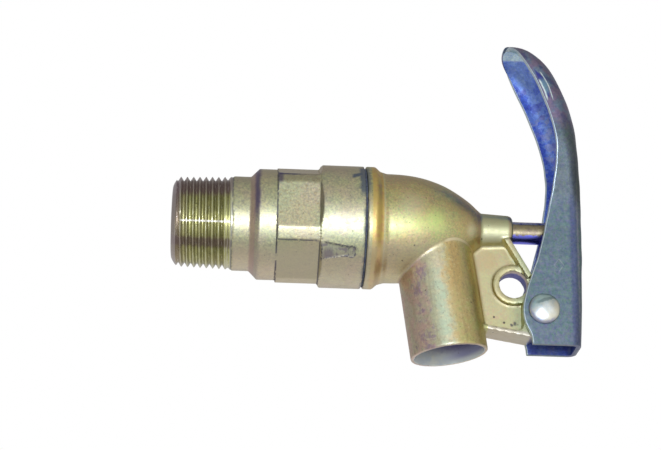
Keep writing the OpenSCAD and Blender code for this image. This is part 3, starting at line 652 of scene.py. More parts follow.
        # painted shade: a darker band round the outside of the lock ring, fading to the right
        ringo = t.m("MULTIPLY", t.m("MULTIPLY", t.span(hl, 5.75, 6.0), t.span(hl, 6.75, 6.2)), t.span(y, -3.2, -2.6, 0.0, 1.0))
        ringo = t.m("MULTIPLY", ringo, t.span(x, 102.5, 100.5))
        col = t.mix(t.m("MULTIPLY", ringo, 0.55), col, (0.36, 0.31, 0.17))
        ringr = t.m("MULTIPLY", t.m("MULTIPLY", t.span(x, 97.4, 97.9), t.span(x, 98.7, 98.4)), t.span(z, -5.4, -4.6))
        col = t.mix(t.m("MULTIPLY", ringr, 0.5), col, (0.52, 0.36, 0.22))
        # on the elbow the same mask holds real dark specks on the web
        shade_lines_and_specks = t.m("MULTIPLY", spots, 0.8)
        marks = t.top(marks,
                      t.blob(p, (73.1, -13.1, -8.5), 0.25, 0.3), t.blob(p, (74.2, -13.3, -8.1), 0.2, 0.3),
                      t.blob(p, (89.5, -3.8, -3.5), 0.3, 0.35), t.blob(p, (62.4, -10.2, -11.6), 0.3, 0.3),
                      t.blob(p, (93.3, -1.6, -26.4), 0.2, 0.25), t.blob(p, (96.2, -1.6, -28.0), 0.2, 0.25))
    col = t.mix(t.m("MULTIPLY", marks, 0.9), col, (0.10, 0.085, 0.085))
    # near black: painted shade lines on the inlet, dark specks on the elbow
    col = t.mix(t.m("MULTIPLY", shade_lines_and_specks, 0.85), col, (0.10, 0.10, 0.16))
    rough = t.m("ADD", rough, t.m("MULTIPLY", t.top(marks, shade_lines_and_specks), 0.25))
    t.put(b.inputs["Base Color"], col)
    if inlet_side:
        b.inputs["Metallic"].default_value = 1.0
    else:
        t.put(b.inputs["Metallic"], t.m("SUBTRACT", 1.0, t.m("MULTIPLY", inner, 0.92)))
    t.put(b.inputs["Roughness"], rough)
    n1 = t.bump(height, 0.40, 0.06)
    n2 = t.bump(t.m("ADD", fine, t.m("MULTIPLY", t.noise(p, 0.22, 2), 6.0)), 0.25, 0.03, n1)
    t.put(b.inputs["Normal"], n2)
    return mat


def turned_brass(name, tint=(0.70, 0.50, 0.25)):
    mat, t, b, p = material(name)
    x, y, z = t.xyz(p)
    ang = t.m("ARCTAN2", z, y)
    lines = t.noise(t.join(t.m("MULTIPLY", x, 7.0), t.m("MULTIPLY", ang, 0.8), 0.0), 1.0, 4, 0.65)
    mid = t.noise(p, 0.5, 3, 0.6)
    col = t.mix(t.span(mid, 0.35, 0.65), tint, (tint[0] * 0.80, tint[1] * 0.74, tint[2] * 0.62))
    col = t.mix(t.m("MULTIPLY", t.span(lines, 0.55, 0.75), 0.35), col, (0.42, 0.26, 0.15))
    t.put(b.inputs["Base Color"], col)
    b.inputs["Metallic"].default_value = 1.0
    t.put(b.inputs["Roughness"], t.span(lines, 0.3, 0.7, 0.24, 0.36))
    t.put(b.inputs["Normal"], t.bump(t.m("ADD", lines, t.m("MULTIPLY", mid, 0.5)), 0.3, 0.02))
    return mat


def zinc(name, inner=False):
    """Satin zinc on pressed steel: blue-grey-green with a mottled, slightly purple cast."""
    mat, t, b, p = material(name)
    x, y, z = t.xyz(p)
    big = t.noise(p, 0.07, 3, 0.55)
    mid = t.noise(p, 0.55, 4, 0.6)
    grain = t.noise(p, 1.7, 3, 0.7)
    fine = t.noise(p, 5.0, 3, 0.65)
    wob = t.m("MULTIPLY", t.m("SUBTRACT", mid, 0.5), 1.6)
    if inner:
        # the channel's inside: bluer, with pale and purple patches
        cloud = t.noise(p, 0.30, 4, 0.70, 0.6)
        col = t.mix(t.span(cloud, 0.44, 0.56), (0.155, 0.255, 0.79), (0.27, 0.42, 0.88))
        cell = t.voronoi(t.v("ADD", p, t.v("SCALE", t.join(mid, grain, cloud), scale=3.0)), 0.55)
        pk = t.xyz(cell.outputs["Color"])
        col = t.mix(t.m("MULTIPLY", t.m("GREATER_THAN", pk[0], 0.78), 0.45), col, (0.44, 0.46, 0.66))
        col = t.mix(t.m("MULTIPLY", t.m("LESS_THAN", pk[1], 0.20), 0.45), col, (0.13, 0.14, 0.60))
        # painted light: paler towards the upper inside and the tip
        tipw = t.span(t.m("ADD", t.m("ADD", z, t.m("MULTIPLY", y, -0.454)), t.m("MULTIPLY", wob, 0.5)), 55.2, 55.9)
        upr = t.span(t.m("ADD", z, t.m("MULTIPLY", y, -0.454)), 44.0, 52.0)
        col = t.mix(t.m("MULTIPLY", upr, 0.45), col, (0.36, 0.56, 1.0))
        col = t.mix(t.m("MULTIPLY", tipw, 0.85), col, (0.80, 1.0, 1.0))
        scuff = t.span(grain, 0.60, 0.72)
        # painted shade: darker blue towards the bottom of the inside
        low = t.span(z, 6.0, -6.0)
        col = t.mix(t.m("MULTIPLY", low, 0.6), col, (0.10, 0.12, 0.34))
    else:
        col = t.mix(t.span(big, 0.40, 0.62), (0.165, 0.232, 0.265), (0.185, 0.228, 0.290))
        col = t.mix(t.m("MULTIPLY", t.span(mid, 0.5, 0.72), 0.5), col, (0.215, 0.268, 0.255))
        col = t.mix(t.m("MULTIPLY", t.span(mid, 0.46, 0.28), 0.4), col, (0.135, 0.180, 0.245))
        # fine greenish and purple mottle
        mot = t.noise(t.v("ADD", p, (1.0, 2.0, 3.0)), 0.9, 4, 0.75)
        col = t.mix(t.m("MULTIPLY", t.span(mot, 0.51, 0.62), 0.80), col, (0.150, 0.262, 0.220))
        col = t.mix(t.m("MULTIPLY", t.span(mot, 0.47, 0.37), 0.60), col, (0.205, 0.185, 0.330))
        # purple shadow line along the bend, and the paler line behind it
        bend = t.m("MULTIPLY", t.band(t.m("ADD", x, t.m("MULTIPLY", wob, 0.5)), 116.2, 0.5, 1.0), t.span(z, 26.0, 14.0))
        col = t.mix(t.m("MULTIPLY", bend, 0.75), col, (0.105, 0.120, 0.240))
        line = t.m("MULTIPLY", t.band(x, 117.5, 0.10, 0.3), t.span(z, 24.0, 12.0))
        col = t.mix(t.m("MULTIPLY", line, 0.35), col, (0.36, 0.34, 0.44))
        # purple-brown mottle up the back of the pad, with dark-blue patches; the pale streaks follow below
        back = t.span(t.m("ADD", z, t.m("MULTIPLY", wob, 5.0)), 24.0, 34.0)
        back_mottle_colour = t.mix(t.span(t.noise(p, 0.30, 4, 0.65), 0.42, 0.62), (0.275, 0.205, 0.340), (0.215, 0.290, 0.420))
        col = t.mix(t.m("MULTIPLY", back, 0.80), col, back_mottle_colour)
        blue = t.m("MULTIPLY", back, t.span(t.noise(t.v("ADD", p, (9.0, 4.0, 2.0)), 0.24, 3, 0.6), 0.54, 0.64))
        col = t.mix(t.m("MULTIPLY", blue, 0.55), col, (0.075, 0.100, 0.270))
        # painted reflection: a dark-blue band between two pale highlight streaks beside the pad
        dx1, dz1 = t.m("SUBTRACT", x, 108.2), t.m("SUBTRACT", z, 42.0)
        a1 = t.m("ADD", t.m("MULTIPLY", dx1, 0.366), t.m("MULTIPLY", dz1, -0.931))
        a2 = t.m("ADD", t.m("MULTIPLY", dx1, 0.931), t.m("MULTIPLY", dz1, 0.366))
        a2 = t.m("ADD", t.m("ADD", a2, t.m("MULTIPLY", wob, 0.2)), t.m("MULTIPLY", t.m("MULTIPLY", a1, a1), 0.022))
        side = t.span(y, -5.0, -8.0)
        a3 = t.m("ADD", a1, 1.3)
        lens = t.m("SUBTRACT", 0.95, t.m("ADD", t.m("ABSOLUTE", t.m("ADD", a2, 0.1)), t.m("MULTIPLY", t.m("MULTIPLY", a3, a3), 0.030)))
        lens = t.m("MULTIPLY", t.span(t.m("ADD", lens, t.m("MULTIPLY", wob, 0.25)), -0.10, 0.35), side)
        lc = t.mix(t.band(a1, -0.2, 1.2, 2.4), (0.060, 0.065, 0.340), (0.190, 0.340, 0.450))
        col = t.mix(t.m("MULTIPLY", lens, 0.9), col, lc)
        st1 = t.m("MULTIPLY", t.m("MULTIPLY", t.band(a1, 0.8, 2.6, 1.4), t.band(a2, -0.75, 0.12, 0.22)), side)
        st2 = t.m("MULTIPLY", t.m("MULTIPLY", t.band(a1, -0.2, 3.8, 1.6), t.band(a2, 0.92, 0.07, 0.18)), side)
        col = t.mix(t.m("MULTIPLY", t.top(st1, st2), 0.9), col, (0.85, 1.0, 0.98))
        # scratched lozenge on each flange
        dx = t.m("DIVIDE", t.m("ABSOLUTE", t.m("SUBTRACT", x, 111.7)), 1.35)
        dz = t.m("DIVIDE", t.m("ABSOLUTE", t.m("ADD", z, 11.6)), 1.9)
        dd = t.m("ADD", t.m("ADD", dx, dz), t.m("MULTIPLY", wob, 0.12))
        loz = t.m("MULTIPLY", t.band(dd, 1.0, 0.05, 0.12), t.span(y, -5.9, -6.2))
        loz = t.m("MULTIPLY", loz, t.span(t.noise(p, 1.2, 2), 0.36, 0.52))
        # light scuffs
        vo = t.voronoi(t.v("ADD", p, t.v("SCALE", t.join(mid, fine, big), scale=1.5)), 0.16)
        pick = t.xyz(vo.outputs["Color"])[0]
        scuff = t.m("MULTIPLY", t.span(vo.outputs["Distance"], 0.16, 0.05), t.m("GREATER_THAN", pick, 0.80))
        scuff = t.m("MULTIPLY", scuff, t.span(fine, 0.48, 0.62))
        col = t.mix(t.m("MULTIPLY", t.top(loz, t.m("MULTIPLY", scuff, 0.7)), 0.5), col, (0.38, 0.42, 0.42))
    if not inner:
        flare = t.m("MULTIPLY", t.m("MULTIPLY", t.span(z, 2.0, 12.0), t.span(z, 35.0, 27.0)), 0.56)
        flare = t.m("ADD", flare, t.m("MULTIPLY", t.band(z, 13.5, 2.0, 6.0), 0.16))
        col = t.mix(flare, col, (0.070, 0.085, 0.075))
    sp = t.noise(t.v("ADD", p, (7.0, 7.0, 1.0)), 1.0, 3, 0.75)
    g0 = t.span(sp, 0.25, 0.75, 0.66, 1.34, False)
    g1 = t.span(sp, 0.25, 0.75, 0.72, 1.28, False)
    g2 = t.span(t.m("ADD", t.m("MULTIPLY", sp, 0.5), t.m("MULTIPLY", grain, 0.5)), 0.3, 0.7, 0.74, 1.20, False)
    col = t.mix(1.0, col, t.node("ShaderNodeCombineColor", {0: g0, 1: g1, 2: g2}).outputs[0], "MULTIPLY")
    t.put(b.inputs["Base Color"], col)
    b.inputs["Metallic"].default_value = 1.0
    r0 = 0.50 if inner else 0.34
    t.put(b.inputs["Roughness"], t.m("ADD", t.span(mid, 0.3, 0.7, r0, r0 + 0.10), t.m("MULTIPLY", scuff, 0.12)))
    n1 = t.bump(t.m("ADD", t.m("MULTIPLY", mid, 1.0), t.m("MULTIPLY", grain, 0.4)), 0.25, 0.05)
    n2 = t.bump(t.noise(p, 0.16, 2), 0.35, 0.35, n1)
    t.put(b.inputs["Normal"], n2)
    return mat


def stem_metal(name):
    """The bare push stem: dull brass, a painted highlight as pale bluish patches on top and painted shade as dark blue
    underneath.
    """
    mat, t, b, p = material(name)
    x, y, z = t.xyz(p)
    arcz = t.m("ARCTAN2", z, t.m("MULTIPLY", y, -1.0))
    mid = t.noise(p, 0.7, 4, 0.65)
    fine = t.noise(t.join(t.m("MULTIPLY", x, 4.0), y, z), 1.2, 3, 0.7)
    wob = t.m("MULTIPLY", t.m("SUBTRACT", mid, 0.5), 0.9)
    aw = t.m("ADD", arcz, wob)
    col = t.mix(t.span(mid, 0.38, 0.64), (0.36, 0.31, 0.17), (0.27, 0.22, 0.15))
    # painted highlight: pale bluish patches on the upper side
    topm = t.span(aw, 0.45, 0.75)
    col = t.mix(topm, col, t.mix(t.span(t.noise(p, 0.55, 3, 0.6), 0.42, 0.58), (0.16, 0.17, 0.40), (0.66, 0.60, 0.60)))
    # painted shade: dark blue on the underside
    low = t.m("MULTIPLY", t.span(aw, -0.46, -0.66), t.span(x, 80.0, 95.0))
    col = t.mix(t.m("MULTIPLY", low, 0.92), col, (0.20, 0.22, 0.95))
    col = t.mix(t.m("MULTIPLY", t.span(fine, 0.58, 0.70), 0.35), col, (0.12, 0.10, 0.14))
    t.put(b.inputs["Base Color"], col)
    b.inputs["Metallic"].default_value = 1.0
    t.put(b.inputs["Roughness"], t.span(fine, 0.3, 0.7, 0.26, 0.40))
    t.put(b.inputs["Normal"], t.bump(t.m("ADD", fine, t.m("MULTIPLY", mid, 0.6)), 0.3, 0.03))
    return mat


def rivet_metal(name):
    """Bright rivet head with painted reflection tints: yellowish towards the lower right, slightly green on top with a
    dark stroke, bluish at the rim.
    """
    mat, t, b, p = material(name)
    x, y, z = t.xyz(p)
    q = t.join(t.m("SUBTRACT", x, 107.1), 0.0, t.m("ADD", z, 25.0))
    qx, qy, qz = t.xyz(q)
    r = t.v("LENGTH", q)
    mid = t.noise(p, 0.8, 4, 0.6)
    fine = t.noise(p, 4.0, 3, 0.6)
    wob = t.m("SUBTRACT", mid, 0.5)
    col = t.mix(t.span(mid, 0.4, 0.66), (0.74, 0.78, 0.70), (0.58, 0.68, 0.70))
    # painted highlight: yellowish towards the lower right
    col = t.mix(t.m("MULTIPLY", t.span(t.m("SUBTRACT", qx, t.m("MULTIPLY", qz, 0.6)), 0.5, 3.0), 0.6), col, (0.86, 0.80, 0.60))
    # painted reflection tint: teal on top
    topm = t.span(t.m("ADD", t.m("SUBTRACT", qz, t.m("MULTIPLY", qx, 0.5)), t.m("MULTIPLY", wob, 2.0)), 0.4, 2.6)
    col = t.mix(t.m("MULTIPLY", topm, 0.60), col, (0.34, 0.58, 0.56))
    stroke = t.band(t.m("ADD", t.m("ADD", qz, t.m("MULTIPLY", qx, -0.35)), t.m("MULTIPLY", wob, 1.4)), 2.2, 0.22, 0.5)
    stroke = t.m("MULTIPLY", stroke, t.span(qx, -3.2, -1.6))
    col = t.mix(t.m("MULTIPLY", stroke, 0.5), col, (0.10, 0.16, 0.18))
    # painted reflection tint: bluish lower-left rim
    rim = t.m("MULTIPLY", t.span(t.m("ADD", r, t.m("MULTIPLY", wob, 0.8)), 3.5, 4.1), t.span(t.m("ADD", qx, qz), 1.0, -1.5))
    col = t.mix(t.m("MULTIPLY", rim, 0.55), col, (0.30, 0.32, 0.60))
    col = t.mix(t.m("MULTIPLY", t.span(fine, 0.60, 0.72), 0.25), col, (0.20, 0.22, 0.26))
    t.put(b.inputs["Base Color"], col)
    b.inputs["Metallic"].default_value = 1.0
    t.put(b.inputs["Roughness"], t.span(mid, 0.3, 0.7, 0.30, 0.40))
    t.put(b.inputs["Normal"], t.bump(t.m("ADD", mid, t.m("MULTIPLY", fine, 0.2)), 0.3, 0.07))
    return mat


def bright_steel(name, base=(0.70, 0.75, 0.77), rough=(0.14, 0.26), lines=False):
    mat, t, b, p = material(name)
    mid = t.noise(p, 0.9, 4, 0.6)
    fine = t.noise(p, 6.0, 3, 0.6)
    col = t.mix(t.span(mid, 0.4, 0.66), base, (base[0] * 0.80, base[1] * 0.84, base[2] * 0.90))
    col = t.mix(t.m("MULTIPLY", t.span(fine, 0.58, 0.72), 0.3), col, (0.40, 0.42, 0.44))
    t.put(b.inputs["Base Color"], col)
    b.inputs["Metallic"].default_value = 1.0
    t.put(b.inputs["Roughness"], t.span(mid, 0.3, 0.7, rough[0], rough[1]))
    t.put(b.inputs["Normal"], t.bump(t.m("ADD", mid, t.m("MULTIPLY", fine, 0.3)), 0.3, 0.05))
    return mat


def soft(name, base, dark, rough=0.55, scale=1.2):
    mat, t, b, p = material(name)
    mid = t.noise(p, scale, 4, 0.6)
    fine = t.noise(p, 8.0, 2, 0.6)
    col = t.mix(t.span(mid, 0.35, 0.68), base, dark)
    t.put(b.inputs["Base Color"], col)
    t.put(b.inputs["Roughness"], t.span(fine, 0.3, 0.7, rough - 0.06, rough + 0.08))
    t.put(b.inputs["Normal"], t.bump(t.m("ADD", mid, fine), 0.3, 0.03))
    return mat


M_INLET = cast_brass("cast_brass_inlet", "inlet")
M_ELBOW = cast_brass("cast_brass_elbow", "elbow")
M_TURNED = turned_brass("turned_brass")
M_STEM = stem_metal("stem_brass")
M_ZINC = zinc("satin_zinc")
M_ZINC_IN = zinc("satin_zinc_inside", True)
# pale sheared edge, also a painted highlight along the lever's near edge
M_ZINC_RIM = bright_steel("sheared_zinc_rim_and_highlight", (0.66, 0.78, 0.80), (0.30, 0.42))
M_RIVET = rivet_metal("rivet_zinc")
M_WIRE = bright_steel("spring_wire", (0.62, 0.64, 0.65), (0.22, 0.34))
M_SCREEN = bright_steel("screen_wire", (0.58, 0.57, 0.52), (0.30, 0.42))
M_PTFE = soft("ptfe", (0.82, 0.81, 0.76), (0.68, 0.67, 0.60))
M_GASKET = soft("gasket", (0.075, 0.085, 0.150), (0.16, 0.20, 0.24), 0.62)
M_RUBBER = soft("o_ring_rubber", (0.020, 0.020, 0.022), (0.035, 0.035, 0.038), 0.50)

# ------------------------------------------------------------------ inlet casting

PITCH = 1.814


def build_thread():
    n = 176
    a = np.arange(n) * 2 * np.pi / n          # about +X from +Y towards +Z
    xs = np.concatenate([[0.0, 0.06, 0.16, 0.3, 0.5, 0.75, 1.0, 1.25], np.arange(1.4, 17.6, 0.125), [17.6, 17.8, 18.3]])
    face = np.interp(xs, [0, 0.06, 0.16, 0.3, 0.5, 0.9, 1.4, 2.0, 2.6, 3.4, 20],
                     [9.75, 10.25, 10.62, 10.95, 11.32, 11.98, 12.55, 12.95, 13.18, 13.3, 14.4])
    X = np.repeat(xs[:, None], n, 1)
    rc = 13.0 + (X - 1.8) / 32
    ph = (X - 2.1) / PITCH - (a[None, :] - math.pi / 2) / (2 * np.pi)
    s = np.abs(ph - np.round(ph))
    tri = np.clip((1 - 2 * s) * 1.14 - 0.05, 0, 1)
    fade = 1 - np.clip((X - 14.9) / 2.5, 0, 1) ** 1.6
    rng = np.random.default_rng(5)
    nick = np.zeros_like(X)
    for _ in range(60):
        u, w = rng.uniform(2, 16), rng.uniform(0, 2 * np.pi)
        dw = np.abs((a - w + np.pi) % (2 * np.pi) - np.pi)
        nick += rng.uniform(0.05, 0.22) * np.exp(-((X - u) / 0.5) ** 2) * np.exp(-(dw[None, :] / 0.06) ** 2)
    R = rc - 1.22 * fade * (1 - tri) - nick * (tri > 0.55)
    R = np.minimum(R, face[:, None])
    R[-2:] = 13.4
    # inner wall, from the back to the mouth
    ix = [18.3, 14.02, 14.0, 13.25, 13.15, 13.0, 12.6, 12.15, 12.0, 11.9, 6, 0.55, 0.3, 0.12, 0.0]
    ir = [7.02, 7.02, 8.0, 8.0, 8.05, 8.45, 8.55, 8.45, 8.05, 8.0, 8, 8.0, 8.16, 8.36, 8.6]
    X = np.concatenate([X, np.repeat(np.array(ix)[:, None], n, 1)])
    R = np.concatenate([R, np.repeat(np.array(ir)[:, None], n, 1)])
    v, f = loft(X, R, n)
    return v, f[:, ::-1]


def build_body():
    prof = rounded([(17.6, 7.0), (17.6, 13.7), (22.5, 13.7), (24.9, 16.1), (30.15, 16.1), (30.15, 17.4), (42.5, 17.4),
                    (42.5, 17.85), (55.1, 17.85), (55.1, 14.55), (46.45, 14.55), (46.45, 11.5), (24.4, 11.5), (21.5, 8.6),
                    (20.0, 8.6), (20.0, 7.0)],
                   [0, 0, 0.35, 0.6, 0.15, 0.3, 0.05, 0.2, 0.32, 0.1, 0, 0.1, 0.3, 0.3, 0.1, 0.1])
    T = Table(prof, 16.5, 56.5, 0, 20.0, 0.05)
    turn = math.radians(27)
    dirs = [(math.sin(turn + i * math.pi / 3), math.cos(turn + i * math.pi / 3)) for i in range(6)]

    def f(x, y, z):
        r = np.sqrt(y * y + z * z)
        d = T(x, r)
        # flats: direction i is turned from +Z towards -Y
        w = np.full(x.shape, 1e9)
        for s, c in dirs:
            h = -y * s + z * c
            slope = (x - 42.15) * 0.873 - (h - 15.9) * 0.488
            w = np.minimum(w, smax(smax(15.9 - h, 30.18 - x, 0.2), slope, 0.2))
        d = smax(d, -w, 0.16)
        # shallow key-shaped mark on the collar's near side
        ztop = -9.95 - np.clip((x - 43.6) / 6.6, 0, 1) * 1.05
        zbot = -13.85 + np.clip((x - 43.6) / 5.8, 0, 1) * 0.8
        bar = np.minimum(np.minimum(ztop - z, z - zbot), np.minimum(x - 43.75, 50.6 - x))
        disc = 1.22 - np.sqrt((x - 51.4) ** 2 + (z + 12.1) ** 2)
        k = np.clip(np.maximum(bar, disc) / 0.45 + 0.3, 0, 1)
        return d + np.where((y < 0) & (r > 16.5) & (x > 42.4), 0.17 * k * k * (3 - 2 * k), 0)

    h = 0.38
    return surface(f, (16.9, -18.6, -18.6), (55.9, 18.6, 18.6), h)


def join(parts):
    V, F, N, o = [], [], [], 0
    for v, f in parts:
        V.append(v); F.append(f + o); o += len(v)
    return np.concatenate(V), np.concatenate(F)


tv, tf = build_thread()
bv, bf, bn = build_body()
v, f = join([(tv, tf), (bv, bf)])
inlet = make("inlet_casting", v, f, M_INLET, "faucet_body", ["inlet_body"], smooth=38)

# ------------------------------------------------------------------ outlet elbow

TILT = math.radians(8.4)
SX = 74.96
AX = np.array([math.sin(TILT), 0, -math.cos(TILT)])   # down the spout
LOCK = (98.9, -16.9)
PIV = (107.1, -25.0)


def catmull(T, per=6):
    T = np.array(T, float)
    out = []
    for i in range(len(T) - 1):
        a = T[max(i - 1, 0)]; b = T[i]; c = T[i + 1]; d = T[min(i + 2, len(T) - 1)]
        for k in range(per):
            t = k / per
            out.append(0.5 * (2 * b + (c - a) * t + (2 * a - 5 * b + 4 * c - d) * t * t + (3 * b - a - 3 * c + d) * t ** 3))
    out.append(T[-1])
    return out


DOME = [[61.8, 15.95], [66, 15.85], [70, 15.45], [74, 14.6], [78, 13.25], [81, 11.8], [84, 10],
        [86.5, 8.25], [88.5, 6.5], [89.8, 5.4]]


def tangent(a, s, r=5.2):
    d = np.array(a, float) - PIV
    L = np.linalg.norm(d)
    w = math.atan2(d[1], d[0]) + s * math.acos(r / L)
    return (PIV[0] + r * math.cos(w), PIV[1] + r * math.sin(w))


def build_elbow():
    dome = [tuple(q) for q in catmull(DOME, 4)]
    outer = [(46.2, 8.0), (46.2, 9.0), (46.8, 9.4), (46.8, 13.9), (47.3, 14.4), (55.7, 14.4), (55.7, 17.6), (55.95, 17.85),
             (58.25, 17.85), (58.68, 17.6), (59.9, 16.5), (61.2, 16.16), (61.62, 15.98)] + dome
    outer += [(90.5, 5.35), (97.7, 4.95), (98.5, 4.68), (98.9, 4.2), (99.0, 3.9), (99.0, 0.0), (46.2, 0.0)]
    T = Table(outer, 44.0, 114.0, 0, 20.0, 0.05)
    cav = rounded([(40, 0), (40, 8), (50, 8), (54, 12), (56, 12.5), (68, 12.5), (72, 12), (76, 10.8), (79, 8.9), (81, 7),
                   (82.5, 4.6), (82.5, 0)], 0.4)
    C = Table(cav, 38.0, 116.0, 0, 20.0, 0.06)
    # web outlines in (x, z)
    nose, foot = (104.2, -14.3), (103.3, -32.9)
    panel = [(84, -1), (97.6, -1), (98.6, -4.4), (104.2, -14.3), (104.2, -32), (103.3, -32.9), (88, -30.4), (84, -12)]
    rail = [(97.9, -3.2), (103.9, -13.7), nose, (102.9, -15.1), (96.1, -3.4)]
    block = [nose, tangent(nose, -1), PIV, tangent(foot, 1), foot, (101.3, -32.55), (101.3, -20), (102.9, -15.1)]
    foot_rail = [(86, -28.6), (88, -29.1), (99.6, -30.95), (101.3, -31.2), foot, (88, -30.4), (86, -30.1)]
    inner = [(99.4, -31.1), (101.5, -31.4), (101.5, -29)]
    P = Table(panel, 80, 116, -36, 2, 0.06)
    RL = Table(rail, 80, 116, -36, 2, 0.06)
    BL = Table(block, 80, 116, -36, 2, 0.06)
    FR = Table(foot_rail, 80, 116, -36, 2, 0.06)
    IC = Table(inner, 80, 116, -36, 2, 0.06)

    def f(x, y, z):
        r = np.sqrt(y * y + z * z)
        d = T(x, r)
        # spout, measured along its own leaning axis
        u = (x - SX) * AX[0] + z * AX[2]
        px = (x - SX) * math.cos(TILT) + z * math.sin(TILT)
        q = np.sqrt(px * px + y * y)
        tube = smax(q - 11.13, u - 38.2, 0.5)
        tube = np.maximum(tube, -u - 2)
        d = smin(d, tube, 0.55)
        ay = np.abs(y)
        dl = np.sqrt((x - LOCK[0]) ** 2 + (z - LOCK[1]) ** 2)
        lug = np.sqrt((x - PIV[0]) ** 2 + (z - PIV[1]) ** 2) - 5.2
        pan = smax(P(x, z), ay - 1.5, 0.25)
        ring = smax(dl - 5.95, ay - 3.4, 0.45)
        thick = np.minimum(BL(x, z), np.minimum(FR(x, z), lug))
        ic = np.maximum(IC(x, z), 1.8 - np.sqrt((x - 99.55) ** 2 + (z + 29.2) ** 2))
        thick = np.minimum(thick, ic)
        # the upper rail starts under the boss's skin, with a rounded end
        thick = smax(thick, 5.95 - dl, 0.3)
        thick = np.minimum(thick, RL(x, z))
        thick = smax(thick, ay - 4.6, 0.35)
        web = smin(smin(pan, thick, 0.5), ring, 0.45)
        d = smin(d, web, 0.9)
        # cavity, spout bore, stem bore, holes
        bore = np.maximum(q - 10.15, 6 - u)
        hole = np.minimum(C(x, r), bore)
        hole = np.minimum(hole, np.maximum(r - 3.32, 80 - x))
        d = smax(d, -hole, 0.22)
        d = smax(d, 4.1 - dl, 0.35)
        d = smax(d, 2.45 - np.sqrt((x - PIV[0]) ** 2 + (z - PIV[1]) ** 2), 0.1)
        return d

    h = 0.43
    return surface(f, (45.4, -18.6, -39.9), (112.9, 18.6, 18.6), h)


v, f, nrm = build_elbow()
elbow = make("elbow_casting", v, f, M_ELBOW, "faucet_body", ["outlet_elbow"], smooth=40)

# ------------------------------------------------------------------ joint gasket

def ring_piece(name, prof, mat, body, nodes, n=128, wobble=0.0, seed=0, smooth=40):
    prof = np.asarray(prof, float)
    a = np.arange(n) * 2 * np.pi / n
    rng = np.random.default_rng(seed)
    w = sum(rng.uniform(-1, 1) * np.cos(k * a + rng.uniform(0, 6.3)) / k ** 0.7 for k in range(2, 14))
    R = prof[:, 1][:, None] + wobble * w[None, :] * (prof[:, 1] > prof[:, 1].mean())[:, None]
    X = np.repeat(prof[:, 0][:, None], n, 1)
    v, f = loft(X, R, n)
    return make(name, v, f[:, ::-1], mat, body, nodes, smooth=smooth)


ring_piece("joint_gasket", rounded([(55.12, 14.5), (55.12, 17.2), (55.68, 17.2), (55.68, 14.5)], 0.12, 3),
           M_GASKET, "faucet_body", ["body_gasket"], 160, 0.10, 3)

# ------------------------------------------------------------------ flame screen: woven wire

def tube(path, r, sides=6, closed=False):
    path = np.asarray(path, float)
    n = len(path)
    tan = np.gradient(path, axis=0)
    tan /= np.maximum(np.linalg.norm(tan, axis=1), 1e-9)[:, None]
    up = np.array([1.0, 0, 0]) if abs(tan[0][0]) < 0.9 else np.array([0, 1.0, 0])
    a = np.cross(tan, up); a /= np.maximum(np.linalg.norm(a, axis=1), 1e-9)[:, None]
    b = np.cross(tan, a)
    w = np.arange(sides) * 2 * np.pi / sides
    v = path[:, None] + r * (np.cos(w)[None, :, None] * a[:, None] + np.sin(w)[None, :, None] * b[:, None])
    v = v.reshape(-1, 3)
    f = []
    for i in range(n - 1):
        for k in range(sides):
            q = (k + 1) % sides
            f.append((i * sides + k, i * sides + q, (i + 1) * sides + q, (i + 1) * sides + k))
    f.append(tuple(range(sides))[::-1])
    f.append(tuple((n - 1) * sides + k for k in range(sides)))
    return v, f


def many(parts):
    V, F, o = [], [], 0
    for v, f in parts:
        V.append(v); F += [tuple(i + o for i in q) for q in f]; o += len(v)
    return np.concatenate(V), F


def build_screen():
    parts = []
    gap, r, R = 0.78, 0.15, 7.75
    k = int(R / gap)
    for direction in (0, 1):
        for i in range(-k, k + 1):
            c = i * gap
            half = math.sqrt(max(0, R * R - c * c))
            if half < 0.6:
                continue
            m = max(6, int(2 * half / (gap / 4)))
            s = np.linspace(-half, half, m)
            wave = r * 0.95 * np.cos(np.pi * s / gap) * (1 if (i % 2 == 0) else -1) * (1 if direction == 0 else -1)
            x = 13.6 + wave
            p = np.stack([x, np.full(m, c), s] if direction == 0 else [x, s, np.full(m, c)], -1)
            parts.append(tube(p, r, 5))
    # pressed rim that holds the wire
    a = np.linspace(0, 2 * np.pi, 73)[:-1]
    v, f = loft(*rounded([(13.22, 6.95), (13.22, 7.9), (13.98, 7.9), (13.98, 6.95)], 0.15, 2).T, 72)
    parts.append((v, [tuple(q[::-1]) for q in f.tolist()]))
    return many(parts)


v, f = build_screen()
make("flame_screen_mesh", v, f, M_SCREEN, "faucet_body", ["flame_screen"], smooth=45)

a = np.radians(np.linspace(200, 520, 121))
v, f = tube(np.stack([np.full(len(a), 12.6), 7.95 * np.cos(a), 7.95 * np.sin(a)], -1), 0.49, 12)
make("screen_snap_ring", v, f, M_WIRE, "faucet_body", ["screen_ring"], smooth=45)

# ------------------------------------------------------------------ closing spring

def build_spring():
    wire, R, active = 1.2, 7.6, 5
    x0, x1 = 20.1, 42.5
    lead1 = 1.06 * wire
    turns = active + 2
    lead = (x1 - x0 - wire - 2 * lead1) / active
    t = np.linspace(0, turns, turns * 40 + 1)
    s = np.where(t < 1, lead1 * t, np.where(t > turns - 1, lead1 * (2 + t - turns) + lead * active, lead1 + lead * (t - 1)))
    x = x0 + wire / 2 + s
    w = 2 * np.pi * t
    path = np.stack([x, R * np.cos(w), R * np.sin(w)], -1)
    v, f = tube(path, wire / 2, 10)
    v[:, 0] = np.clip(v[:, 0], x0 + 0.12, x1 - 0.12)      # ground ends
    return v, f


v, f = build_spring()
spring = make("closing_coil_spring", v, f, M_WIRE, "faucet_body", ["closing_spring"], smooth=60)
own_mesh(spring)

# ------------------------------------------------------------------ stem and valve

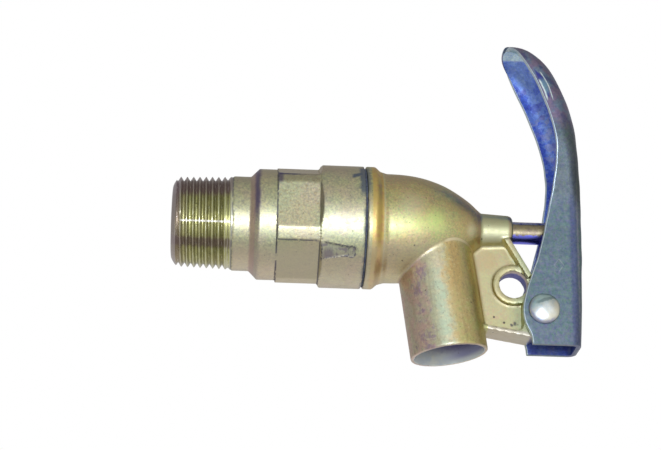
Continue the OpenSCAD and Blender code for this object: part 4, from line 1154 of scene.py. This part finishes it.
def build_stem():
    R, D = 3.25, 6.35
    tip = 117.3
    pts = [(34.4, 0), (34.4, 1.9), (34.9, 2.4)]
    # short thread of the tail, as rings
    x = 35.0
    while x < 39.6:
        pts += [(x, 2.42), (x + 0.2, 2.15), (x + 0.4, 2.42)]
        x += 0.5
    pts += [(39.9, 2.45), (47.4, 2.45), (47.4, 3.0), (47.65, 3.25), (88.9, 3.25), (88.9, 2.3), (90.4, 2.3), (90.4, 3.25),
            (93.4, 3.25), (93.4, 2.3), (94.9, 2.3), (94.9, 3.25), (99, 3.25), (105, 3.25), (110, 3.25)]
    w0 = math.asin(R / D)
    x0 = tip - D + D * math.cos(w0)
    pts += [(x0 - 0.25, R), (x0 - 0.08, R - 0.03)]
    for k in range(1, 9):
        w = (1 - k / 8) * w0 * 0.97
        pts.append((tip - D + D * math.cos(w), D * math.sin(w)))
    pts[-1] = (tip, 0)
    return lathe(pts, 96)


v, f = build_stem()
make("push_stem", v, f, M_STEM, "stem", ["valve_stem"], smooth=35)

v, f = lathe([(40.6, 2.5), (40.6, 5.9), (40.75, 6.25), (41.1, 6.4), (42.35, 6.4), (42.55, 6.5), (42.6, 6.9), (42.6, 9.4),
              (42.72, 9.7), (43.0, 9.8), (44.35, 9.8), (44.55, 9.68), (44.6, 9.4), (44.6, 2.5)], 96)
make("poppet_disc", v, f, M_TURNED, "stem", ["valve_disc"], smooth=30)
ring_piece("poppet_seal", rounded([(44.6, 2.5), (44.6, 9.8), (46.15, 9.8), (46.15, 2.5)], 0.22, 3), M_PTFE, "stem",
           ["seal_washer"], 96)
ring_piece("seal_retainer", rounded([(46.15, 2.5), (46.15, 6.5), (47.0, 6.5), (47.4, 6.1), (47.4, 2.5)], 0.15, 3), M_TURNED,
           "stem", ["washer_retainer"], 96)
for nm, xc, node in (("stem_seal_inner", 89.65, "stem_o_ring_inner"), ("stem_seal_outer", 94.15, "stem_o_ring_outer")):
    rr = (3.30 - 2.3) / 2 - 0.01
    prof = np.array(arc(xc, 2.8, rr, 0, 360, 25)[:-1])
    ring_piece(nm, prof, M_RUBBER, "stem", [node], 72)


def build_lock_washer():
    a = np.radians(np.linspace(95, 445, 97))
    prof = rounded([(39.7, 2.6), (39.7, 4.6), (40.6, 4.6), (40.6, 2.6)], 0.12, 2)
    n = len(prof)
    v = np.array([[x, r * math.cos(w), r * math.sin(w)] for w in a for x, r in prof])
    f = []
    for i in range(len(a) - 1):
        for k in range(n):
            q = (k + 1) % n
            f.append((i * n + k, (i + 1) * n + k, (i + 1) * n + q, i * n + q))
    f.append(tuple(range(n)))
    f.append(tuple((len(a) - 1) * n + k for k in range(n))[::-1])
    return v, f


v, f = build_lock_washer()
make("spring_lock_washer", v, f, M_WIRE, "stem", ["lock_washer"], smooth=35)


def build_nut():
    n = 144
    a = np.arange(n) * 2 * np.pi / n
    k = np.abs((a % (np.pi / 3)) - np.pi / 6)
    hexr = np.minimum(4.0 / np.cos(k), 4.56)
    xs = [35.7, 35.72, 35.85, 36.1, 36.35, 36.6, 37.7, 38.8, 39.1, 39.35, 39.58, 39.68, 39.7]
    cap = [3.9, 4.02, 4.16, 4.36, 4.52, 4.66, 4.8, 4.66, 4.52, 4.36, 4.16, 4.02, 3.9]
    R = np.array([np.minimum(hexr, c) for c in cap])
    X = np.repeat(np.array(xs)[:, None], n, 1)
    ix = [39.7, 39.5, 37.7, 35.9, 35.7]; ir = [2.8, 2.5, 2.5, 2.5, 2.8]
    X = np.concatenate([X, np.repeat(np.array(ix)[:, None], n, 1)])
    R = np.concatenate([R, np.repeat(np.array(ir)[:, None], n, 1)])
    v, f = loft(X, R, n)
    return v, f[:, ::-1]


v, f = build_nut()
make("stem_hex_nut", v, f, M_TURNED, "stem", ["stem_nut"], smooth=28)

# ------------------------------------------------------------------ lever

RIBS = np.array([
    [117.8, -35.4, 103.6, -35.4, 0.00, 2.6, 2.6], [118.0, -32.2, 103.1, -32.4, 0.00, 2.6, 2.6],
    [118.2, -28.6, 101.5, -28.8, 0.00, 2.6, 2.6], [118.4, -24.6, 101.1, -24.8, 0.00, 2.6, 2.6],
    [118.6, -20.0, 102.0, -20.4, 0.00, 2.6, 2.6], [118.7, -15.2, 103.5, -15.6, 0.00, 2.6, 2.6],
    [118.9, -9.8, 105.4, -10.2, 0.00, 2.6, 2.6], [119.0, -4.0, 107.0, -4.4, 0.00, 2.6, 2.6],
    [119.1, 2.0, 108.4, 1.6, 0.00, 2.7, 2.6], [119.1, 8.2, 109.6, 7.6, 0.06, 3.2, 2.8],
    [119.0, 14.4, 110.6, 13.4, 0.28, 4.8, 3.3], [118.8, 20.4, 111.2, 19.0, 0.58, 7.0, 4.2],
    [118.4, 26.2, 111.2, 24.4, 0.85, 9.2, 5.2], [117.8, 31.9, 110.5, 29.4, 0.98, 10.7, 6.0],
    [116.6, 37.3, 109.2, 34.2, 1.00, 11.3, 6.4], [115.0, 42.2, 107.6, 39.0, 0.97, 11.3, 6.4],
    [113.0, 46.8, 105.8, 43.6, 0.94, 11.2, 6.2], [110.6, 50.9, 103.8, 48.0, 0.92, 11.1, 5.9],
    [107.6, 54.2, 101.8, 52.0, 0.95, 11.0, 5.4], [104.4, 56.6, 99.9, 55.5, 1.02, 11.0, 4.7],
    [101.2, 58.1, 98.4, 58.3, 1.07, 11.0, 3.7]])
HW, PAD, SHEET, ROUND, TIP = 6.3, 5.9, 1.4, 16.5, 20.0


def rib_at(u):
    T = RIBS
    i = min(int(math.floor(u)), len(T) - 2)
    t = u - i
    a = T[max(i - 1, 0)]; b = T[i]; c = T[i + 1]; d = T[min(i + 2, len(T) - 1)]
    return 0.5 * (2 * b + (c - a) * t + (2 * a - 5 * b + 4 * c - d) * t * t + (3 * b - a - 3 * c + d) * t ** 3)


def rib(u, t, m, flange):
    """Half rib from the back line to the flange's edge: points (x, y >= 0, z)."""
    d = rib_at(u)
    s = d[:2]; e = d[2:4]; ax = (e - s) / np.linalg.norm(e - s)
    last = TIP - t / 3.4
    k = math.sqrt(max(0, 1 - ((u - ROUND) / (last - ROUND)) ** 2)) if u > ROUND else 1.0
    w = (HW + PAD * d[4] - t) * (0 if k < 0.001 else k)
    a = min(d[5] - t, w); b = d[6] - t * 0.6
    s1 = s + ax * t
    depth = np.linalg.norm(e - s1)
    q = 2 + 0.25 * d[4]
    out = []
    # even steps along the corner's arc, then straight down the flange
    for k2 in range(m + 1):
        c = math.radians(90 * (1 - k2 / m))
        y = w - a + a * max(0.0, math.cos(c)) ** (2 / q)
        z = b * (1 - math.sin(c) ** (2 / q))
        if k2 == 0:
            y = max(0.0, w - a)
            out.append((s1[0], 0.0, s1[1]))
            if w - a > 0.4:
                for j in (1, 2):
                    out.append((s1[0], (w - a) * j / 3, s1[1]))
            else:
                out.append((s1[0], (w - a) / 3, s1[1])); out.append((s1[0], (w - a) * 2 / 3, s1[1]))
        out.append((s1[0] + ax[0] * z, y, s1[1] + ax[1] * z))
    for k2 in range(1, flange + 1):
        z = b + (depth - b) * k2 / flange
        out.append((s1[0] + ax[0] * z, w, s1[1] + ax[1] * z))
    return np.array(out)


def build_lever():
    m, fl = 12, 7
    us = list(np.arange(0, ROUND - 0.01, 0.16)) + [None]
    base = [u for u in us if u is not None]
    tail = [math.sin(math.radians(w)) for w in np.linspace(0, 90, 22)]
    outs = base + [ROUND + (TIP - ROUND) * s for s in tail]
    last = TIP - SHEET / 3.4
    ins = base + [ROUND + (last - ROUND) * s for s in tail]
    loops = []
    bead = 3
    for u0, u1 in zip(outs, ins):
        A = rib(u0, 0.0, m, fl); B = rib(u1, SHEET, m, fl)
        # rounded edge between the outer and inner faces of the sheet
        ea, eb = A[-1].copy(), B[-1].copy()
        down_a = A[-1] - A[-2]; down_a /= max(np.linalg.norm(down_a), 1e-9)
        r = min(0.38, np.linalg.norm(A[-1] - A[-2]) * 0.6)
        edge = []
        side = eb - ea
        L = np.linalg.norm(side)
        sd = side / max(L, 1e-9)
        rr = min(r, L * 0.45)
        A[-1] = ea - down_a * rr
        B[-1] = eb - down_a * rr
        for k in range(1, bead + 1):
            w = math.radians(90 * k / (bead + 1))
            edge.append(ea - down_a * rr * (1 - math.sin(w)) + sd * rr * (1 - math.cos(w)))
        edge.append(ea + sd * rr); edge.append(eb - sd * rr)
        for k in range(bead, 0, -1):
            w = math.radians(90 * k / (bead + 1))
            edge.append(eb - down_a * rr * (1 - math.sin(w)) - sd * rr * (1 - math.cos(w)))
        half = np.concatenate([A, edge, B[::-1]])
        # half runs: back line outside -> edge -> back line inside, y >= 0
        left = half[1:-1][::-1] * np.array([1, -1, 1])
        loops.append(np.concatenate([half, left]))
    loops = np.array(loops)
    n, k = loops.shape[:2]
    # a pressed sheet isn't perfect: shallow waves in the skin
    x, y, z = loops[..., 0], loops[..., 1], loops[..., 2]
    wave = 0.05 * np.sin(z * 0.31 + 1.0) * np.sin(y * 0.42) + 0.035 * np.sin(z * 0.83 + x * 0.5)
    loops[..., 0] += (wave - 0.09) * np.clip((z + 30) / 20, 0, 1) * np.clip((58 - z) / 10, 0, 1)
    V = loops.reshape(-1, 3)
    i, j = np.meshgrid(np.arange(n - 1), np.arange(k), indexing="ij")
    j2 = (j + 1) % k
    F = np.stack([i * k + j, i * k + j2, (i + 1) * k + j2, (i + 1) * k + j], -1).reshape(-1, 4)
    faces = F.tolist()
    # 0 outside, 1 inside, 2 the sheared rim, pale as cut metal and as a painted highlight along the near edge
    na = (k + 2) // 2 // 2 - bead - 1
    ne = 2 * bead + 2
    H = (k + 2) // 2
    first = np.arange(k)
    fold = np.where(first < H, first, 2 * H - 2 - first)
    nxt = np.where((first + 1) % k < H, (first + 1) % k, 2 * H - 2 - (first + 1) % k)
    lo, hi = np.minimum(fold, nxt), np.maximum(fold, nxt)
    zone = np.where(hi < na, 0, np.where(lo >= na + ne, 1, 2))
    zones = np.repeat(zone[None, :], n - 1, 0)
    # where the pad is wide, the strip of the outer face beside the edge also takes the pale rim material, a painted
    # highlight
    wide = np.array(outs[:-1]) > 11.5
    zones[np.ix_(wide, np.nonzero(lo == na - 2)[0])] = 2
    zones = zones.ravel().tolist()
    # foot: strips between the outer and inner halves
    h = (k + 2) // 2
    for a0 in range(h - 1):
        p, q = a0, a0 + 1
        pi, qi = h - 1 - a0, h - 2 - a0
        if p >= pi:
            break
        if q < pi:
            faces.append([p, pi, qi, q] if q != qi else [p, pi, q])
        lp = (k - p) % k; lq = (k - q) % k; lpi = (k - pi) % k; lqi = (k - qi) % k
        if q < pi:
            faces.append([lq, lqi, lpi, lp] if q != qi else [lq, lpi, lp])
    return V, faces, zones + [0] * (len(faces) - len(zones))


v, f, zones = build_lever()
lever = make("thumb_lever", v, f, [M_ZINC, M_ZINC_IN, M_ZINC_RIM], "lever", ["lever"], zones=zones)
bm_fix = lever.data
import bmesh
bm = bmesh.new(); bm.from_mesh(bm_fix)
bmesh.ops.remove_doubles(bm, verts=bm.verts, dist=2e-6)
bmesh.ops.dissolve_degenerate(bm, edges=bm.edges, dist=1e-6)
bmesh.ops.recalc_face_normals(bm, faces=bm.faces)
bm.to_mesh(bm_fix); bm.free()
bm_fix.shade_smooth()
bm_fix.set_sharp_from_angle(angle=math.radians(50))

# ------------------------------------------------------------------ rivet

def build_rivet():
    """Turned about Y through the pivot; the near head is the larger one."""
    prof = [(-8.1, 0.0)]
    for k in range(1, 10):
        w = math.radians(90 * k / 10)
        prof.append((-6.42 - 1.68 * math.cos(w), 4.1 * math.sin(w)))
    prof += [(-6.42, 4.1), (-6.36, 4.0), (-6.34, 2.4), (6.34, 2.4), (6.36, 4.45)]
    prof += [(6.44, 4.53)]
    for k in range(11, -1, -1):
        w = math.radians(90 * k / 12)
        prof.append((6.48 + 1.82 * math.cos(w), 4.55 * math.sin(w)))
    v, f = lathe(prof, 96)
    # x of the profile runs towards -Y
    w = np.stack([PIV[0] + v[:, 1], -v[:, 0], PIV[1] + v[:, 2]], -1)
    # the hammer left the near head a little uneven
    near = w[:, 1] < -6.4
    du = w[:, 0] - PIV[0]; dv = w[:, 2] - PIV[1]
    w[near, 1] += (0.05 * np.sin(du * 1.7 + 0.6) * np.cos(dv * 1.4))[near]
    w[:, 1] = np.maximum(w[:, 1], -8.3)
    return w, f


v, f = build_rivet()
make("pivot_rivet_peened", v, f, M_RIVET, "lever", ["pivot_rivet"], smooth=50)

# ------------------------------------------------------------------ stage

def pale(name, col):
    mat, t, b, p = material(name)
    n = t.noise(p, 0.01, 3, 0.5)
    t.put(b.inputs["Base Color"], t.mix(t.span(n, 0.35, 0.65), col, tuple(c * 0.97 for c in col)))
    b.inputs["Roughness"].default_value = 0.85
    return mat


me = bpy.data.meshes.new("studio_floor")
s = 4.0
me.from_pydata([(-s, -s, -0.9), (s, -s, -0.9), (s, s, -0.9), (-s, s, -0.9)], [], [(0, 1, 2, 3)])
me.materials.append(pale("pale_floor", (0.86, 0.84, 0.83)))
floor = bpy.data.objects.new("studio_floor", me)
scene.collection.objects.link(floor)
floor.visible_glossy = False

world = bpy.data.worlds.new("studio")
scene.world = world
world.use_nodes = True
t = Tree(world.node_tree)
out = t.node("ShaderNodeOutputWorld")
tc = t.node("ShaderNodeTexCoord")
d = t.v("NORMALIZE", tc.outputs["Generated"])


def dirv(az, el):
    a, e = math.radians(az), math.radians(el)
    return (math.sin(a) * math.cos(e), -math.cos(a) * math.cos(e), math.sin(e))


def lobe(direction, sigma, amp, tint=(1.0, 1.0, 1.0)):
    """A soft round patch of light about one direction, sigma degrees wide."""
    k = 1.0 / math.radians(sigma) ** 2
    e = t.m("EXPONENT", t.m("MULTIPLY", t.m("SUBTRACT", t.v("DOT_PRODUCT", d, direction), 1.0), k))
    e = t.m("MULTIPLY", e, amp)
    return t.v("SCALE", t.node("ShaderNodeCombineXYZ", {0: tint[0], 1: tint[1], 2: tint[2]}).outputs[0], scale=e)


lobes = [
    lobe(dirv(0, -14), 20, 1.38, (0.98, 1.04, 1.30)),
    lobe(dirv(-2, -13), 6, 6.0, (1.0, 1.04, 1.32)),
    lobe(dirv(0, 26), 28, 0.17),
    lobe(dirv(55, -8), 28, 0.42, (1.0, 1.0, 0.92)),
    lobe(dirv(-62, -8), 26, 0.26, (1.0, 0.97, 1.05)),
    lobe(dirv(180, -35), 35, 0.45, (1.0, 0.95, 1.0)),
    lobe(dirv(0, -75), 30, 0.10, (1.0, 0.98, 0.98)),
]
acc = t.join(0.30, 0.295, 0.30)
for k in lobes:
    acc = t.v("ADD", acc, k)
lp = t.node("ShaderNodeLightPath")
bg1 = t.node("ShaderNodeBackground", {0: acc, 1: 1.0})
bg2 = t.node("ShaderNodeBackground", {0: (1.0, 1.0, 1.0), 1: 1.0})
mx = t.node("ShaderNodeMixShader")
t.t.links.new(lp.outputs["Is Camera Ray"], mx.inputs[0])
t.t.links.new(bg1.outputs[0], mx.inputs[1])
t.t.links.new(bg2.outputs[0], mx.inputs[2])
t.t.links.new(mx.outputs[0], out.inputs[0])

CENTRE = Vector((0.060, 0.0, 0.0))


def area(name, az, el, dist, sx, sy, watts, col=(1, 1, 1)):
    l = bpy.data.lights.new(name, "AREA")
    l.shape = "RECTANGLE"; l.size = sx; l.size_y = sy
    l.energy = watts; l.color = col
    o = bpy.data.objects.new(name, l)
    p = CENTRE + Vector(dirv(az, el)) * dist
    o.location = p
    o.rotation_euler = (CENTRE - p).to_track_quat("-Z", "Y").to_euler()
    o.visible_camera = False
    scene.collection.objects.link(o)
    return o


area("key_soft", 2, -10, 1.6, 1.2, 0.9, 1.2, (1.0, 1.0, 0.98))
area("top_soft", 10, 70, 1.5, 1.5, 1.5, 0.6, (1.0, 0.98, 0.97))

# ------------------------------------------------------------------ camera

az, el, roll, dist = math.radians(-3.121), math.radians(-20.282), math.radians(0.898), 0.540
pos = Vector((0.0184366, -0.5057688, -0.1866211))
fwd = Vector((0.05107, 0.93661, 0.34664)).normalized()
right = Vector((math.cos(az), math.sin(az), 0)).normalized()
up = right.cross(fwd).normalized()
right = fwd.cross(up).normalized()
R2 = right * math.cos(roll) + up * math.sin(roll)
U2 = -right * math.sin(roll) + up * math.cos(roll)
cam = bpy.data.cameras.new("camera")
cam.sensor_width = 36.0
cam.sensor_fit = "HORIZONTAL"
cam.lens = 100.93
cam.clip_start = 0.01
co = bpy.data.objects.new("camera", cam)
co.matrix_world = Matrix(((R2.x, U2.x, -fwd.x, pos.x), (R2.y, U2.y, -fwd.y, pos.y), (R2.z, U2.z, -fwd.z, pos.z), (0, 0, 0, 1)))
scene.collection.objects.link(co)
scene.camera = co
scene.view_settings.view_transform = "Standard"
scene.view_settings.look = "None"
